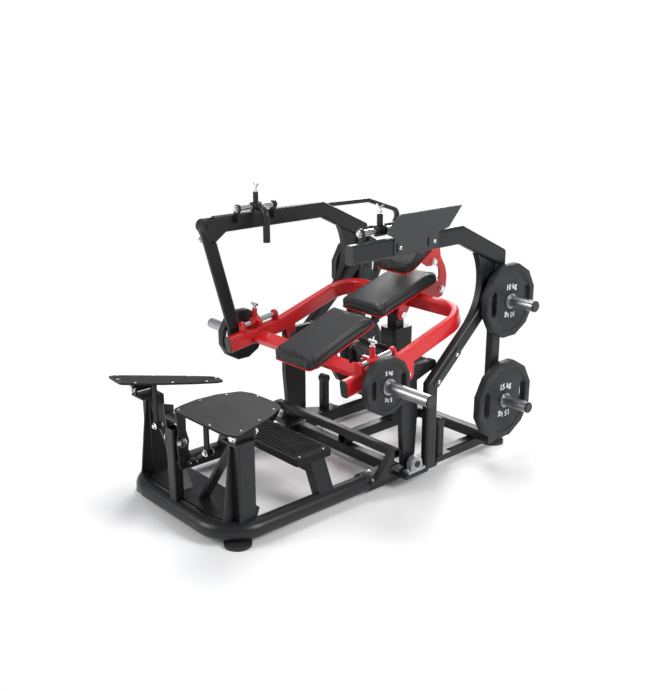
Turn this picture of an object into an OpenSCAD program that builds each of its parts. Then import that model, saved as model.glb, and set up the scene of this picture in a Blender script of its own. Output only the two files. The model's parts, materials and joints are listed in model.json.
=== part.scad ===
// Plate-loaded leg press with a swinging carriage.
// Origin on the floor under the middle of the machine; +Y runs from the foot
// plates to the rear, +Z is up and +X is the side that carries the shield.

/* [Base] */
// Centre plane to the centreline of each side rail
rail_x = 347; // [335:1:420]
// Width and height of the square rear rails
rail_w = 50; // [40:1:60]
// Gap between the floor and the underside of the rails
rail_gap = 22; // [18:1:40]
// Diameter of the round front loop tube
loop_d = 76; // [60:1:92]
// Radius of the front loop's corners, on the centreline
loop_r = 150; // [140:1:170]
// Origin to the centreline of the loop's front run
loop_front = 812; // [760:1:980]
// Origin to the joint between front loop and rear rails
splice_front = 108; // [90:1:125]
// Origin to the rear end of the rails
rail_rear = 806; // [780:1:900]
// Wall of every structural tube
tube_wall = 4; // [3:0.5:6]
// Thickness of the deck plate inside the front loop
deck_t = 6; // [4:1:8]
// Length of the deck plate behind the loop's front run
deck_len = 210; // [190:1:260]
// Diameter of the rubber feet
foot_d = 110; // [80:1:120]

/* [Side frames] */
// Width of the posts, beams and diagonals across the machine
frame_w = 40; // [36:1:46]
// Depth of the upper beams
beam_h = 76; // [60:1:84]
// Height of the upper beams' centreline
beam_z = 1080; // [1040:1:1200]
// Origin to the front end of the upper beams
beam_front = 276; // [250:1:300]
// Origin to the bend of the upper beams
beam_bend = 350; // [320:1:370]
// Depth of the rear posts, front to back
post_d = 60; // [50:1:66]
// Origin to the centreline of the rear posts
post_y = 612; // [605:1:640]
// Depth of the diagonals
diag_h = 62; // [50:1:66]
// Side gap between the moving frame and the side frames
side_gap = 7; // [5:0.5:10]

/* [Carriage] */
// Width of the red arms across the machine
arm_w = 40; // [36:1:46]
// Depth of the red arms
arm_h = 74; // [60:1:80]
// Length of the lever between its two pivots
lever_len = 400; // [395:1:410]
// Thickness of the swing levers
lever_t = 26; // [20:1:28]
// Diameter of the base shafts
shaft_d = 30; // [25:1:32]
// Diameter of the carriage's pivot bolts
bolt_d = 20; // [16:1:22]
// Radial running clearance of every pivot
run_fit = 0.05; // [0.02:0.01:0.1]
// Radial clearance of the rear link's upper pivot
open_fit = 1.2; // [1:0.1:1.5]
// Radius of the red frame's rear corners
yoke_r = 120; // [100:1:140]

/* [Pads] */
// Width of the pads
pad_w = 272; // [240:1:300]
// Thickness of the pads
pad_t = 44; // [36:1:50]
// Length of the seat pad
seat_len = 405; // [380:1:412]
// Length of the back pad
back_len = 400; // [380:1:405]
// Length of the head pad
head_len = 205; // [180:1:215]

/* [Load] */
// Diameter of the weight sleeves
sleeve_d = 50; // [48:0.5:50.5]
// Length of the loading sleeves outside the small plates
horn_len = 218; // [180:1:240]
// Diameter of the small plates
plate5_d = 240; // [220:1:250]
// Diameter of the medium plates
plate10_d = 330; // [310:1:340]
// Diameter of the large plates
plate15_d = 370; // [350:1:384]
// Thickness of the plates
plate_t = 34; // [28:1:38]

/* [Foot plates] */
// Length of a foot plate
fp_len = 452; // [420:1:460]
// Width of a foot plate
fp_w = 286; // [260:1:292]
// Thickness of a foot plate
fp_t = 8; // [6:1:10]
// Centre plane to the tilt axis of a foot plate
fp_axis_x = 352; // [345:1:358]
// Height of the tilt axis
fp_axis_z = 462; // [452:1:468]

/* [Upper fittings] */
// Diameter of the slide rods on beams and arms
rod_d = 25; // [20:1:28]
// Diameter of the hand grips
grip_d = 32; // [28:1:36]
// Length of the lock arm below its hinge
lock_len = 500; // [470:1:515]
// Length of the shield's wing, on the right beam
shield_len = 410; // [380:1:425]

/* [Hidden] */
$fn = 48;
small = 0.3;                       // space between pieces that must not touch
facing = 2;                        // space between plates that pass each other
lap = 0.05;                        // overlap of a bent tube's lengths at each joint
slimmer = 0.002;                   // share by which each length is slimmer than the last

rail_z = rail_gap + rail_w/2;      // rear rail centreline
rail_top = rail_gap + rail_w;
loop_z = rail_gap + loop_d/2;
rail_out = rail_x + rail_w/2;
deck_z = loop_z + 32;              // top face of the deck
deck_drop = deck_z - deck_t - loop_z;
deck_in = sqrt(pow(loop_d/2, 2) - pow(deck_drop, 2)) + small;
deck_rear = deck_len - loop_front;

splice_t = 8;
pad_top = rail_top + splice_t;     // top face of splice plates and bearing pads
lever_x = rail_out + 3 + lever_t/2;
arm_x = lever_x;
beam_x = arm_x + arm_w/2 + side_gap + frame_w/2;
beam_out = beam_x + frame_w/2;
bearing_x = beam_x;
bearing_rise = 36;                 // shaft centre above the bearing's foot
base_pivot = [115, pad_top + bearing_rise];
lever_lean = 2.5;                  // forward lean of the levers at rest
function lean(len) = [-len*sin(lever_lean), len*cos(lever_lean)];
top_pivot = base_pivot + lean(lever_len);
link_top = [430, 636];
link_base = link_top - lean(lever_len);
lever_bar = base_pivot + [132, 408];   // tube that ties the two levers
lever_bar_d = 42;

arm_bend = [40, 573];              // bend of the red arms, on the centreline
arm_front = [-255, 532.5];
yoke_tilt = 17.2;
yoke_y = 475;                      // centreline of the rear cross run
yoke_len = (yoke_y - arm_bend[0])/cos(yoke_tilt);
function on_arm(y) = [y, y < arm_bend[0]
    ? arm_bend[1] + (y - arm_bend[0])*(arm_bend[1] - arm_front[1])/(arm_bend[0] - arm_front[0])
    : arm_bend[1] + (y - arm_bend[0])*tan(yoke_tilt)];
arm_tilt = atan2(arm_bend[1] - arm_front[1], arm_bend[0] - arm_front[0]);

cheek_t = 5.5;                     // cheeks of the levers' upper pivots
horn_y = -115;
horn_z = on_arm(horn_y)[1] - 14;
plate5_x = beam_out + 10;          // inner face of the small plates
horn_tip = plate5_x + plate_t + horn_len;
hub_d = 84;

cross_y = 40;                      // tube that joins the two splice legs
low_cross_y = 115;                 // tube that ties the rails under the bearings
cross_top = 190;
rear_cross_h = rail_w;
post_foot = rail_top + rear_cross_h;
post_front = post_y - post_d/2;
diag_x = beam_x;
diag_foot_y = 200;
diag_slope = 41.5;
diag_bend = [diag_foot_y, 452];
beam_drop = 25.6;
beam_end = [post_y, beam_z - (post_y - beam_bend)*tan(beam_drop)];
store_y = post_y + 27;             // storage sleeves, just off the posts' centreline
store_z = [757, 290];
store_in = beam_out + 8;
store_len = 165;

seat_tilt = 20.2;
seat_front = [-221, 562];          // upper front edge of the seat
back_tilt = 16.5;
back_front = [188, 723];
head_tilt = 31;
head_front = [392, 840];           // lower front edge of the head pad
head_w = 230;
head_plate_x = 105;                // side plates of the head bracket

fp_toe = 20;                       // toe-out of the foot plates
fp_roll = 8.5;
fp_rise = 10.5;
fp_centre = [249, -672, 508];      // middle of the upper face
barrel_y = -727;
barrel_len = 76;
ear_x = 42;
mast_y = -822;
mast_top = 404;                    // top of the mast's box section
mast_pivot = [66, 268];            // x and z of the tie rod's inner pin
tie_share = 0.4;                   // outer pin's place between inner pin and tilt axis
plate_pivot = mast_pivot + tie_share*([fp_axis_x, fp_axis_z] - mast_pivot);
tie_y = -775;                      // plane of the pins' lugs
tie_pin_d = 12;
tie_open = 2.6;                    // radial clearance at the tie rod's inner eye
lug_t = 8;

clamp_y = -77;                     // sliding grips at rest
rod_y = [-172, 18];                // ends of the rods on the beams
rod_z = beam_z + beam_h/2 + 26;
grip_rod_x = beam_x - frame_w/2 - 22;
belt_ends = [-88, 88];              // ends of the belt rods about their middle
belt_park = -22;                   // where the belt clamps stand at rest
belt_rise = 62;

lock_hinge = [-beam_front - 50, beam_z];
lock_lean = 15.5;                  // the lock arm's foot sits behind its hinge
lock_h = 63;
lock_w = 38;
pin_drop = 74;
lock_foot = lock_hinge + lock_len*[sin(lock_lean), -cos(lock_lean)];
lock_hole = lock_hinge + pin_drop*[sin(lock_lean), -cos(lock_lean)];
fork_half = frame_w/2;             // the fork's plates lie against the beam's sides

hand_w = 25;
hand_h = 20;
hand_r = 40;                       // bend at the hand rail's rear end
hand_low = beam_z - 136;           // its lower run, back to the beam's end
hand_rear = 917.46;                // rear face of the hand rail
shield_y = -61;                    // front edge of the shield's lower plate

pad_front = 50;                    // bearing pads, front and rear edges
pad_rear = 188;
fork_in = 76;                      // inside width of the rear link's fork
fork_t = 10;
link_w = 60;                       // width of the rear link between its forks
step_w = 614;
step_d = 186;
step_z = 250;
step_y = -342;
step_t = 30;
post_x = rail_x - 33;              // outer posts of the foot stand
post_w = 54;
post_len = 78;
foot_post_y = -704;                // centre of the outer posts, just behind the tilt bolts
fp_post_top = fp_axis_z - 28;
gusset_r = 251;

// ---------------------------------------------------------------- sections

module both_sides() {
    children();
    mirror([1, 0, 0]) children();
}

// Rectangle with true round corners
module rounded(w, h, r) {
    square([w - 2*r, h], center = true);
    square([w, h - 2*r], center = true);
    for (sx = [-1, 1], sy = [-1, 1])
        translate([sx*(w/2 - r), sy*(h/2 - r)]) circle(r);
}

// Wall of a rounded rectangular tube
module tube_wall_2d(w, h, r) {
    difference() {
        rounded(w, h, r);
        rounded(w - 2*tube_wall, h - 2*tube_wall, r - tube_wall + 1);
    }
}

module ring_2d(d, wall) {
    difference() {
        circle(d = d);
        circle(d = d - 2*wall);
    }
}

module slot_2d(len, d) {
    square([len - d, d], center = true);
    for (s = [-1, 1]) translate([s*(len - d)/2, 0]) circle(d = d);
}

function heading(p, q) = atan2(q[1] - p[1], q[0] - p[0]);
function turn(a, b) = (b - a + 540) % 360 - 180;
function halfway(a, b) = a + turn(a, b)/2;
function left_of(p, a, d) = p + d*[-sin(a), cos(a)];

// Band of width h along p, q and r with a mitred bend, longer at both ends by over
module band_2d(p, q, r, h, over = 0) {
    a = heading(p, q);
    b = heading(q, r);
    first = p - over*[cos(a), sin(a)];
    last = r + over*[cos(b), sin(b)];
    bend = h/2/cos(turn(a, b)/2);
    polygon([left_of(first, a, h/2), left_of(q, halfway(a, b), bend), left_of(last, b, h/2),
        left_of(last, b, -h/2), left_of(q, halfway(a, b), -bend), left_of(first, a, -h/2)]);
}

// Puts a piece in the plane x, at p in [y, z], its own Z along the heading
module aim(x, p, a) {
    translate([x, p[0], p[1]]) rotate([a - 90, 0, 0]) children();
}

// Straight section from p to q, both [y, z], in the plane x
module strut(x, p, q) {
    aim(x, p, heading(p, q)) linear_extrude(norm(q - p)) children();
}

// Section that follows a line of [y, z] points with mitred joints, past both ends by over
module mitred_run(x, pts, over = 0) {
    n = len(pts) - 2;
    reach = 90;
    for (i = [0:n]) {
        a = heading(pts[i], pts[i + 1]);
        before = i > 0 ? reach : over;
        after = i < n ? reach : over;
        difference() {
            aim(x, pts[i], a) translate([0, 0, -before])
                linear_extrude(norm(pts[i + 1] - pts[i]) + before + after)
                    scale(1 - i*slimmer) children();
            if (i > 0) aim(x, pts[i], halfway(heading(pts[i - 1], pts[i]), a))
                translate([-reach, -reach, -3*reach - lap]) cube([2*reach, 2*reach, 3*reach]);
            if (i < n) aim(x, pts[i + 1], halfway(a, heading(pts[i + 1], pts[i + 2])))
                translate([-reach, -reach, lap]) cube([2*reach, 2*reach, 3*reach]);
        }
    }
}

// Rounded rectangular tube along a line of [y, z] points
module tube_run(x, pts, w, h, r) {
    wall = 2*tube_wall;
    difference() {
        mitred_run(x, pts) rounded(w, h, r);
        mitred_run(x, pts, 1) rounded(w - wall, h - wall, r - tube_wall + 1);
    }
}

// Round bar along X between two x values, at p in [y, z]
module cross_bar(x0, x1, p, d) {
    translate([min(x0, x1), p[0], p[1]]) rotate([0, 90, 0]) cylinder(d = d, h = abs(x1 - x0));
}

// Plate in the plane of [y, z], between two x values
module side_plate(x0, x1) {
    translate([x0, 0, 0]) rotate([90, 0, 90]) linear_extrude(x1 - x0) children();
}

// Hexagon bolt head with a washer, its axis along Z, seated on z = 0
module bolt_head(d) {
    cylinder(d = 2.1*d, h = 0.18*d);
    translate([0, 0, 0.18*d]) cylinder(d = 1.75*d, h = 0.6*d, $fn = 6);
}

// ---------------------------------------------------------------- base

module front_loop() color("#2c2e30") {
    corner_x = rail_x - loop_r;
    corner_y = loop_r - loop_front;
    both_sides() {
        translate([rail_x, -splice_front, loop_z]) rotate([90, 0, 0])
            linear_extrude(-corner_y - splice_front) ring_2d(loop_d, tube_wall);
        translate([corner_x, corner_y, loop_z]) rotate([0, 0, -90])
            rotate_extrude(angle = 90) translate([loop_r, 0]) ring_2d(loop_d, tube_wall);
        translate([0, -loop_front, loop_z]) rotate([0, 90, 0])
            linear_extrude(corner_x) ring_2d(loop_d, tube_wall);
    }
}

module front_deck() color("#1f2122") {
    half = rail_x - deck_in;
    r = loop_r - deck_in;
    front = deck_in - loop_front;
    cut = 46;
    translate([0, 0, deck_z - deck_t]) linear_extrude(deck_t) {
        polygon([[-half, front + r], [half, front + r], [half, deck_rear - cut],
            [half - cut, deck_rear], [cut - half, deck_rear], [-half, deck_rear - cut]]);
        translate([0, front + r/2]) square([2*(half - r), r], center = true);
        intersection() {
            union() for (s = [-1, 1]) translate([s*(half - r), front + r]) circle(r, $fn = 96);
            translate([-half, front]) square([2*half, r]);
        }
    }
}

module rear_rails() color("#2c2e30") both_sides()
    strut(rail_x, [-splice_front, rail_z], [rail_rear, rail_z]) tube_wall_2d(rail_w, rail_w, 8);

// Plates on the rails, with the outrigger pads for the bearings and diagonals
module splice_plates() color("#26282a") both_sides() {
    translate([0, 0, rail_top]) linear_extrude(splice_t)
        polygon([[rail_x - 52, small - splice_front], [rail_x + 54, small - splice_front],
            [rail_x + 54, -6], [rail_out, 32], [rail_out, 60], [rail_x - 34, 60],
            [rail_x - 52, 40]]);
    translate([rail_out, pad_front, pad_top - 20])
        cube([beam_out - 4 - rail_out, pad_rear - pad_front, 20]);
    translate([0, 0, rail_top]) linear_extrude(splice_t)
        polygon([[rail_x - 17, pad_rear - 22], [rail_out, pad_rear - 22], [rail_out, pad_rear],
            [beam_out, pad_rear - 25], [beam_out, diag_foot_y + diag_h/2 + 6],
            [rail_out + 36, 300], [rail_out + 36, 384], [rail_x - 17, 384]]);
}

// Short posts with round heads, behind the levers
module stop_posts() color("#303234") both_sides() {
    translate([rail_out + 12, 320, pad_top]) linear_extrude(158) tube_wall_2d(40, 40, 8);
    translate([rail_out - 8, 320, pad_top + 158]) rotate([0, 90, 0]) cylinder(d = 44, h = 40);
}

module cross_tube() color("#2c2e30")
    translate([-lever_x - 14, cross_y, cross_top - 19]) rotate([90, 0, 90])
        linear_extrude(2*lever_x + 28) tube_wall_2d(38, 38, 7);

module low_cross_tube() color("#2c2e30")
    translate([rail_w/2 - rail_x, low_cross_y, rail_z]) rotate([90, 0, 90])
        linear_extrude(2*rail_x - rail_w) tube_wall_2d(rail_w, rail_w, 8);

// Legs from the cross tube's ends down to the splice plates
module cross_legs() color("#303234") both_sides() difference() {
    strut(lever_x, [cross_y - 122, pad_top - 30], [cross_y + 10, cross_top + 10]) tube_wall_2d(32, 46, 8);
    translate([lever_x - 40, cross_y - 300, 0]) cube([80, 400, pad_top]);
    translate([lever_x - 40, cross_y - 200, cross_top]) cube([80, 400, 120]);
    translate([lever_x - 40, cross_y - 19, 0]) cube([80, 200, 400]);
}

module rear_cross_tube() color("#2c2e30")
    translate([-beam_out, post_y, rail_top + rear_cross_h/2]) rotate([90, 0, 90])
        linear_extrude(2*beam_out) tube_wall_2d(rail_w, rear_cross_h, 8);

module spine_tube() color("#2c2e30")
    strut(0, [low_cross_y - rail_w/2, rail_top + 25], [post_y - rail_w/2, rail_top + 25])
        tube_wall_2d(50, 50, 8);

// Fork that carries the rear link, with its pin
module link_pedestal() color("#2c2e30") {
    foot = rail_top + 50;
    for (s = [-1, 1]) difference() {
        side_plate(s*(fork_in + fork_t)/2 - fork_t/2, s*(fork_in + fork_t)/2 + fork_t/2)
            difference() {
                polygon([[link_base[0] - 70, foot + 8], [link_base[0] + 70, foot + 8],
                    [link_base[0] + 26, link_base[1] + 24], [link_base[0] - 26, link_base[1] + 24]]);
                translate(link_base) circle(d = bolt_d);
            }
    }
    translate([-fork_in/2 - fork_t, link_base[0] - 70, foot]) cube([fork_in + 2*fork_t, 140, 8]);
    cross_bar(-fork_in/2 - fork_t - 8, fork_in/2 + fork_t + 8, link_base, bolt_d);
}

module levelling_feet() color("#222222") {
    corner = [rail_x - loop_r, loop_r - loop_front];
    for (s = [-1, 1], p = [corner + loop_r*[cos(34), -sin(34)], [rail_x, rail_rear - 46]])
        translate([s*p[0], p[1], 0]) {
            cylinder(d = foot_d, h = 14);
            translate([0, 0, 14]) cylinder(d = foot_d - 24, h = 5);
            translate([0, 0, 19]) cylinder(d = 24, h = rail_gap - 19 - 0.02);
        }
}

// ---------------------------------------------------------------- step and foot stand

module step_plank() color("#26282a") {
    ribs = 9;
    pitch = (step_d - 24)/ribs;
    translate([0, step_y, step_z - step_t]) difference() {
        linear_extrude(step_t) rounded(step_w, step_d, 10);
        for (i = [0:ribs - 1]) translate([40 - step_w/2, (i + 0.28)*pitch + 12 - step_d/2, step_t - 5])
            cube([step_w - 80, pitch*0.44, 8]);
    }
}

// Bent legs under the plank's ends, saddled on the loop tube
module step_legs() color("#303234") both_sides() {
    top = [step_w/2 - 22, step_z - step_t - 25];
    start = top - [80, 0];
    foot = [rail_x, loop_z];
    width = 76;
    translate([0, step_y + 20, 0]) rotate([90, 0, 0]) difference() {
        linear_extrude(width, center = true) band_2d(start, top, foot, 50);
        linear_extrude(width - 2*tube_wall, center = true)
            band_2d(start, top, foot, 50 - 2*tube_wall, 2);
        translate(foot) cylinder(d = loop_d + small, h = width + 20, center = true);
    }
}

// The front loop's outer skin as a solid, a little larger
module loop_space() {
    d = loop_d + small;
    both_sides() {
        translate([rail_x - loop_r, loop_r - loop_front, loop_z]) rotate([0, 0, -90])
            rotate_extrude(angle = 90) translate([loop_r, 0]) circle(d = d);
        translate([rail_x, -splice_front, loop_z]) rotate([90, 0, 0])
            cylinder(d = d, h = loop_front - loop_r - splice_front);
        translate([-1, -loop_front, loop_z]) rotate([0, 90, 0]) cylinder(d = d, h = rail_x - loop_r + 1);
    }
}

module foot_posts() color("#303234") {
    front = foot_post_y - post_len/2;
    both_sides() {
        difference() {
            union() {
                translate([post_x, foot_post_y, loop_z + 12]) linear_extrude(fp_post_top - loop_z - 20)
                    tube_wall_2d(post_w, post_len, 8);
                side_plate(post_x - 21, post_x - 13) polygon([[front, loop_z + 12],
                    [front, fp_post_top - 8], [front - 8, fp_post_top - 8],
                    [front - 50, deck_z], [front - 50, loop_z + 12]]);
            }
            loop_space();
            translate([rail_x - loop_r, loop_r - loop_front, 0]) cylinder(r = loop_r - 24, h = deck_z);
        }
        translate([post_x - 32, barrel_y - barrel_len/2 - 10, fp_post_top - 8])
            cube([fp_axis_x + 48 - post_x, barrel_len + 24, 8]);
        for (s = [-1, 1]) translate([fp_axis_x, barrel_y + s*(barrel_len/2 + 5), 0]) rotate([90, 0, 0])
            linear_extrude(8, center = true) difference() {
                union() {
                    translate([0, fp_axis_z]) circle(d = 34);
                    translate([-17, fp_post_top]) square([28, fp_axis_z - fp_post_top]);
                }
                translate([0, fp_axis_z]) circle(d = 16);
            }
    }
    foot_braces();
}

// Flat struts from the outer posts down to the middle of the deck
module foot_braces() both_sides()
    translate([0, foot_post_y - post_len/2 + 46, 0]) rotate([90, 0, 0]) linear_extrude(44)
        polygon([[post_x - post_w/2, fp_post_top - 8], [post_x - post_w/2, fp_post_top - 30],
            [70, deck_z], [52, deck_z]]);

module centre_mast() color("#2c2e30") {
    for (s = [-1, 1]) {
        side_plate(s*ear_x - 4, s*ear_x + 4)
            polygon([[mast_y + 10, 238], [mast_y + 56, 238], [mast_y + 58, 292], [mast_y + 50, 318],
                [mast_y + 56, 350], [mast_y + 44, 398], [mast_y + 46, 478], [mast_y, 494],
                [mast_y + 10, 396], [mast_y + 2, 350]]);
        // lug for the tie rod's inner pin
        mirror([s < 0 ? 1 : 0, 0, 0]) translate([0, tie_y + lug_t/2, 0]) rotate([90, 0, 0])
            linear_extrude(lug_t) difference() {
                union() {
                    translate([ear_x + 4, mast_pivot[1] - 13]) square([mast_pivot[0] - ear_x - 4, 26]);
                    translate(mast_pivot) circle(d = 26);
                }
                translate(mast_pivot) circle(d = tie_pin_d);
            }
    }
    difference() {
        translate([0, mast_y + 15, deck_z - 20]) linear_extrude(mast_top - deck_z + 20)
            tube_wall_2d(48, 42, 6);
        loop_space();
        translate([-200, mast_y - 20, deck_z - 40]) cube([400, 400, 40]);
    }
    for (z = [262, 350, 440]) translate([4 - ear_x, mast_y + 22, z]) rotate([90, 0, 90])
        linear_extrude(2*ear_x - 8) ring_2d(34, 5);
}

// A pin along Y through a lug and the rod's eye beside it
module tie_pin(p) {
    translate([p[0], tie_y - lug_t/2 - 3, p[1]]) rotate([-90, 0, 0]) {
        cylinder(d = tie_pin_d, h = lug_t + 19);
        translate([0, 0, -5]) cylinder(d = 20, h = 5, $fn = 6);
        translate([0, 0, lug_t + 17]) cylinder(d = 20, h = 6, $fn = 6);
    }
}

// Pins of the foot stand: the tilt bolts and the tie rods' inner pins
module stand_pins() color("#c9ccd0") both_sides() {
    tie_pin(mast_pivot);
    translate([ear_x + 4, mast_y + 22, 350]) rotate([0, 90, 0]) {
        cylinder(d = 40, h = 6);
        cylinder(d = 27, h = 12);
    }
    translate([fp_axis_x, barrel_y, fp_axis_z]) rotate([90, 0, 0]) {
        cylinder(d = 16, h = barrel_len + 24, center = true);
        for (s = [0, 1]) mirror([0, 0, s]) translate([0, 0, barrel_len/2 + 9]) bolt_head(16);
    }
}

// Outline of one foot plate about its middle, long side along Y
module foot_outline() {
    scale([fp_w/286, fp_len/452]) offset(r = 22) offset(delta = -22)
        polygon([[-150, -214], [-20, -222], [92, -226], [126, -192], [112, -40], [98, 90], [72, 205],
            [40, 226], [-70, 222], [-112, 190], [-146, 70], [-160, -50], [-158, -150]]);
}

module in_foot_plane() {
    translate(fp_centre) rotate([-fp_rise, fp_roll, 0]) rotate([0, 0, fp_toe]) children();
}

// Everything above the underside of the foot plate
module above_foot_plate() {
    in_foot_plane() translate([-400, -400, -fp_t]) cube([800, 800, 400]);
}

module foot_plate() {
    in_foot_plane() translate([0, 0, -fp_t]) linear_extrude(fp_t) foot_outline();
    difference() {
        union() {
            translate([fp_axis_x, barrel_y, fp_axis_z]) rotate([90, 0, 0])
                cylinder(d = 36, h = barrel_len, center = true);
            translate([fp_axis_x - 14, barrel_y - barrel_len/2, fp_axis_z]) cube([28, barrel_len, 120]);
            // hanging lug for the tie rod
            translate([plate_pivot[0], tie_y - lug_t/2, plate_pivot[1]]) {
                rotate([-90, 0, 0]) cylinder(d = 28, h = lug_t);
                translate([-14, 0, 0]) cube([28, lug_t, 300]);
            }
        }
        above_foot_plate();
        translate([fp_axis_x, barrel_y, fp_axis_z]) rotate([90, 0, 0])
            cylinder(d = 16 + 2*run_fit, h = barrel_len + 2, center = true);
        translate([plate_pivot[0], tie_y, plate_pivot[1]]) rotate([90, 0, 0])
            cylinder(d = tie_pin_d, h = 40, center = true);
    }
    tie_pin(plate_pivot);
}

module foot_plate_right() color("#242627") foot_plate();
module foot_plate_left() color("#242627") mirror([1, 0, 0]) foot_plate();

// Adjustable rod with an eye at each end; the inner eye is the open pivot
module tie_rod() {
    run = plate_pivot - mast_pivot;
    turn = -atan2(run[1], run[0]);
    translate([mast_pivot[0], tie_y + lug_t/2 + small, mast_pivot[1]]) rotate([0, turn, 0]) {
        difference() {
            union() {
                rotate([-90, 0, 0]) cylinder(d = 30, h = 12);
                translate([norm(run), 0, 0]) rotate([-90, 0, 0]) cylinder(d = 30, h = 12);
                translate([10, 6, 0]) rotate([0, 90, 0]) cylinder(d = 11, h = norm(run) - 20);
                translate([norm(run)/2 - 18, 6, 0]) rotate([0, 90, 0]) cylinder(d = 18, h = 36, $fn = 6);
            }
            translate([0, -1, 0]) rotate([-90, 0, 0]) cylinder(d = tie_pin_d + 2*tie_open, h = 14);
            translate([norm(run), -1, 0]) rotate([-90, 0, 0]) cylinder(d = tie_pin_d + 2*run_fit, h = 14);
        }
    }
}

module tie_rod_right() color("#3a3c3e") tie_rod();
module tie_rod_left() color("#3a3c3e") mirror([1, 0, 0]) tie_rod();

// ---------------------------------------------------------------- side frames

// Height of the beams' underside and of the diagonals' upper edge at y
function beam_under(y) = beam_z - max(0, y - beam_bend)*tan(beam_drop) - beam_h/2/cos(beam_drop);
function diag_mid(y) = diag_bend[1] + (y - diag_bend[0])*tan(diag_slope);
function diag_over(y) = diag_mid(y) + diag_h/2/cos(diag_slope);

module rear_posts() color("#2e3032") both_sides() difference() {
    strut(beam_x, [post_y, post_foot], [post_y, beam_z]) tube_wall_2d(frame_w, post_d, 10);
    aim(beam_x, [post_y, beam_under(post_y)], 90 - beam_drop)
        translate([-100, -200, 0]) cube([200, 400, 300]);
}

module diagonals() color("#2e3032") both_sides() difference() {
    tube_run(beam_x, [[diag_foot_y, pad_top], diag_bend, [post_y, diag_mid(post_y)]],
        frame_w, diag_h, 12);
    translate([beam_x - 60, post_front, 0]) cube([120, 200, 1200]);
}

module upper_beams() color("#2e3032") both_sides() difference() {
    tube_run(beam_x, [[-beam_front, beam_z], [beam_bend, beam_z],
        [post_y + post_d, beam_z - (post_y + post_d - beam_bend)*tan(beam_drop)]], frame_w, beam_h, 14);
    translate([beam_x - 60, post_y + post_d/2, 700]) cube([120, 300, 500]);
}

// Curved gusset plate with an edge flange, between beam, post and diagonal
module gussets() color("#2a2c2e") {
    a = [post_front - 126, beam_under(post_front - 126)];
    c = [post_front - 194, diag_over(post_front - 194)];
    mid = (a + c)/2;
    back = sqrt(pow(gusset_r, 2) - pow(norm(a - c)/2, 2));
    dir = (a - c)/norm(a - c);
    hub = mid + back*[-dir[1], dir[0]];
    both_sides() {
        side_plate(beam_x - 4, beam_x + 4) difference() {
            gusset_field(a, c);
            translate(hub) circle(gusset_r + 6, $fn = 128);
        }
        side_plate(beam_x - frame_w/2 + 5, beam_x + frame_w/2 - 5) intersection() {
            gusset_field(a, c);
            translate(hub) difference() {
                circle(gusset_r + 6, $fn = 128);
                circle(gusset_r, $fn = 128);
            }
        }
    }
}

module gusset_field(a, c) {
    polygon([a, [post_front, beam_under(post_front)], [post_front, diag_over(post_front)], c]);
}

module cover_strips() color("#3a3c3e") both_sides()
    aim(0, [diag_bend[0] + 84, diag_mid(diag_bend[0] + 84) - 12], diag_slope) {
        translate([beam_out, 0, 0]) rotate([0, 90, 0]) linear_extrude(4) slot_2d(206, 34);
        for (t = [-74, 74]) translate([beam_out + 4, 0, t]) rotate([0, 90, 0]) {
            cylinder(d = 19, h = 3);
            translate([0, 0, 3]) cylinder(d1 = 16, d2 = 10, h = 4);
        }
    }

// Plugs in the open tube ends
module tube_caps() color("#1c1d1e") both_sides() {
    strut(beam_x, [-beam_front - 4, beam_z], [-beam_front, beam_z]) rounded(frame_w, beam_h, 14);
    strut(rail_x, [rail_rear, rail_z], [rail_rear + 4, rail_z]) rounded(rail_w, rail_w, 8);
    translate([beam_out, post_y, rail_top + rear_cross_h/2]) rotate([90, 0, 90])
        linear_extrude(4) rounded(rail_w, rear_cross_h, 8);
    for (z = store_z) sleeve_cap(store_in + store_len, [store_y, z]);
}

// ---------------------------------------------------------------- plates and sleeves

// Sleeve for plates, turned down as far as root, where a plate stays on
module sleeve(x, p, len, root) {
    translate([x, p[0], p[1]]) rotate([0, 90, 0]) difference() {
        union() {
            cylinder(d = sleeve_d - 0.8, h = len);
            translate([0, 0, root]) cylinder(d = sleeve_d, h = len - root);
        }
        translate([0, 0, -1]) cylinder(d = sleeve_d - 2*tube_wall, h = len + 2);
    }
}

module sleeve_cap(x, p) {
    translate([x, p[0], p[1]]) rotate([0, 90, 0]) {
        cylinder(d = sleeve_d - 1, h = 5);
        cylinder(d = sleeve_d - 6, h = 8);
    }
}

// Twelve-sided plate with grip slots, seated on a sleeve along X
module weight_plate(x, p, d) {
    slot_r = d*0.345;
    slot_w = d*0.11;
    translate([x, p[0], p[1]]) rotate([0, 90, 0]) difference() {
        union() {
            rotate([0, 0, 15]) cylinder(d = d/cos(15)*0.985, h = plate_t, $fn = 12);
            translate([0, 0, -2]) cylinder(d = hub_d - 14, h = plate_t + 4);
        }
        translate([0, 0, -5]) cylinder(d = sleeve_d + 1, h = plate_t + 10);
        for (s = [-1, 1]) translate([0, s*slot_r, -1]) linear_extrude(plate_t + 2)
            slot_2d(d*0.34, slot_w);
        for (z = [-1, plate_t - 3]) translate([0, 0, z]) difference() {
            cylinder(d = d*0.82, h = 4);
            translate([0, 0, -1]) cylinder(d = hub_d, h = 6);
        }
    }
}

module storage_horns() color("#b9bcbf") both_sides() for (z = store_z) {
    sleeve(store_in, [store_y, z], store_len, plate_t + 9);
    translate([beam_out, store_y - 45, z - 40]) cube([8, 78, 80]);
}

module storage_plates() color("#3b3d3f") both_sides() {
    weight_plate(store_in + 5, [store_y, store_z[0]], plate10_d);
    weight_plate(store_in + 5, [store_y, store_z[1]], plate15_d);
}

// ---------------------------------------------------------------- shield and rails on the beams

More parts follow.
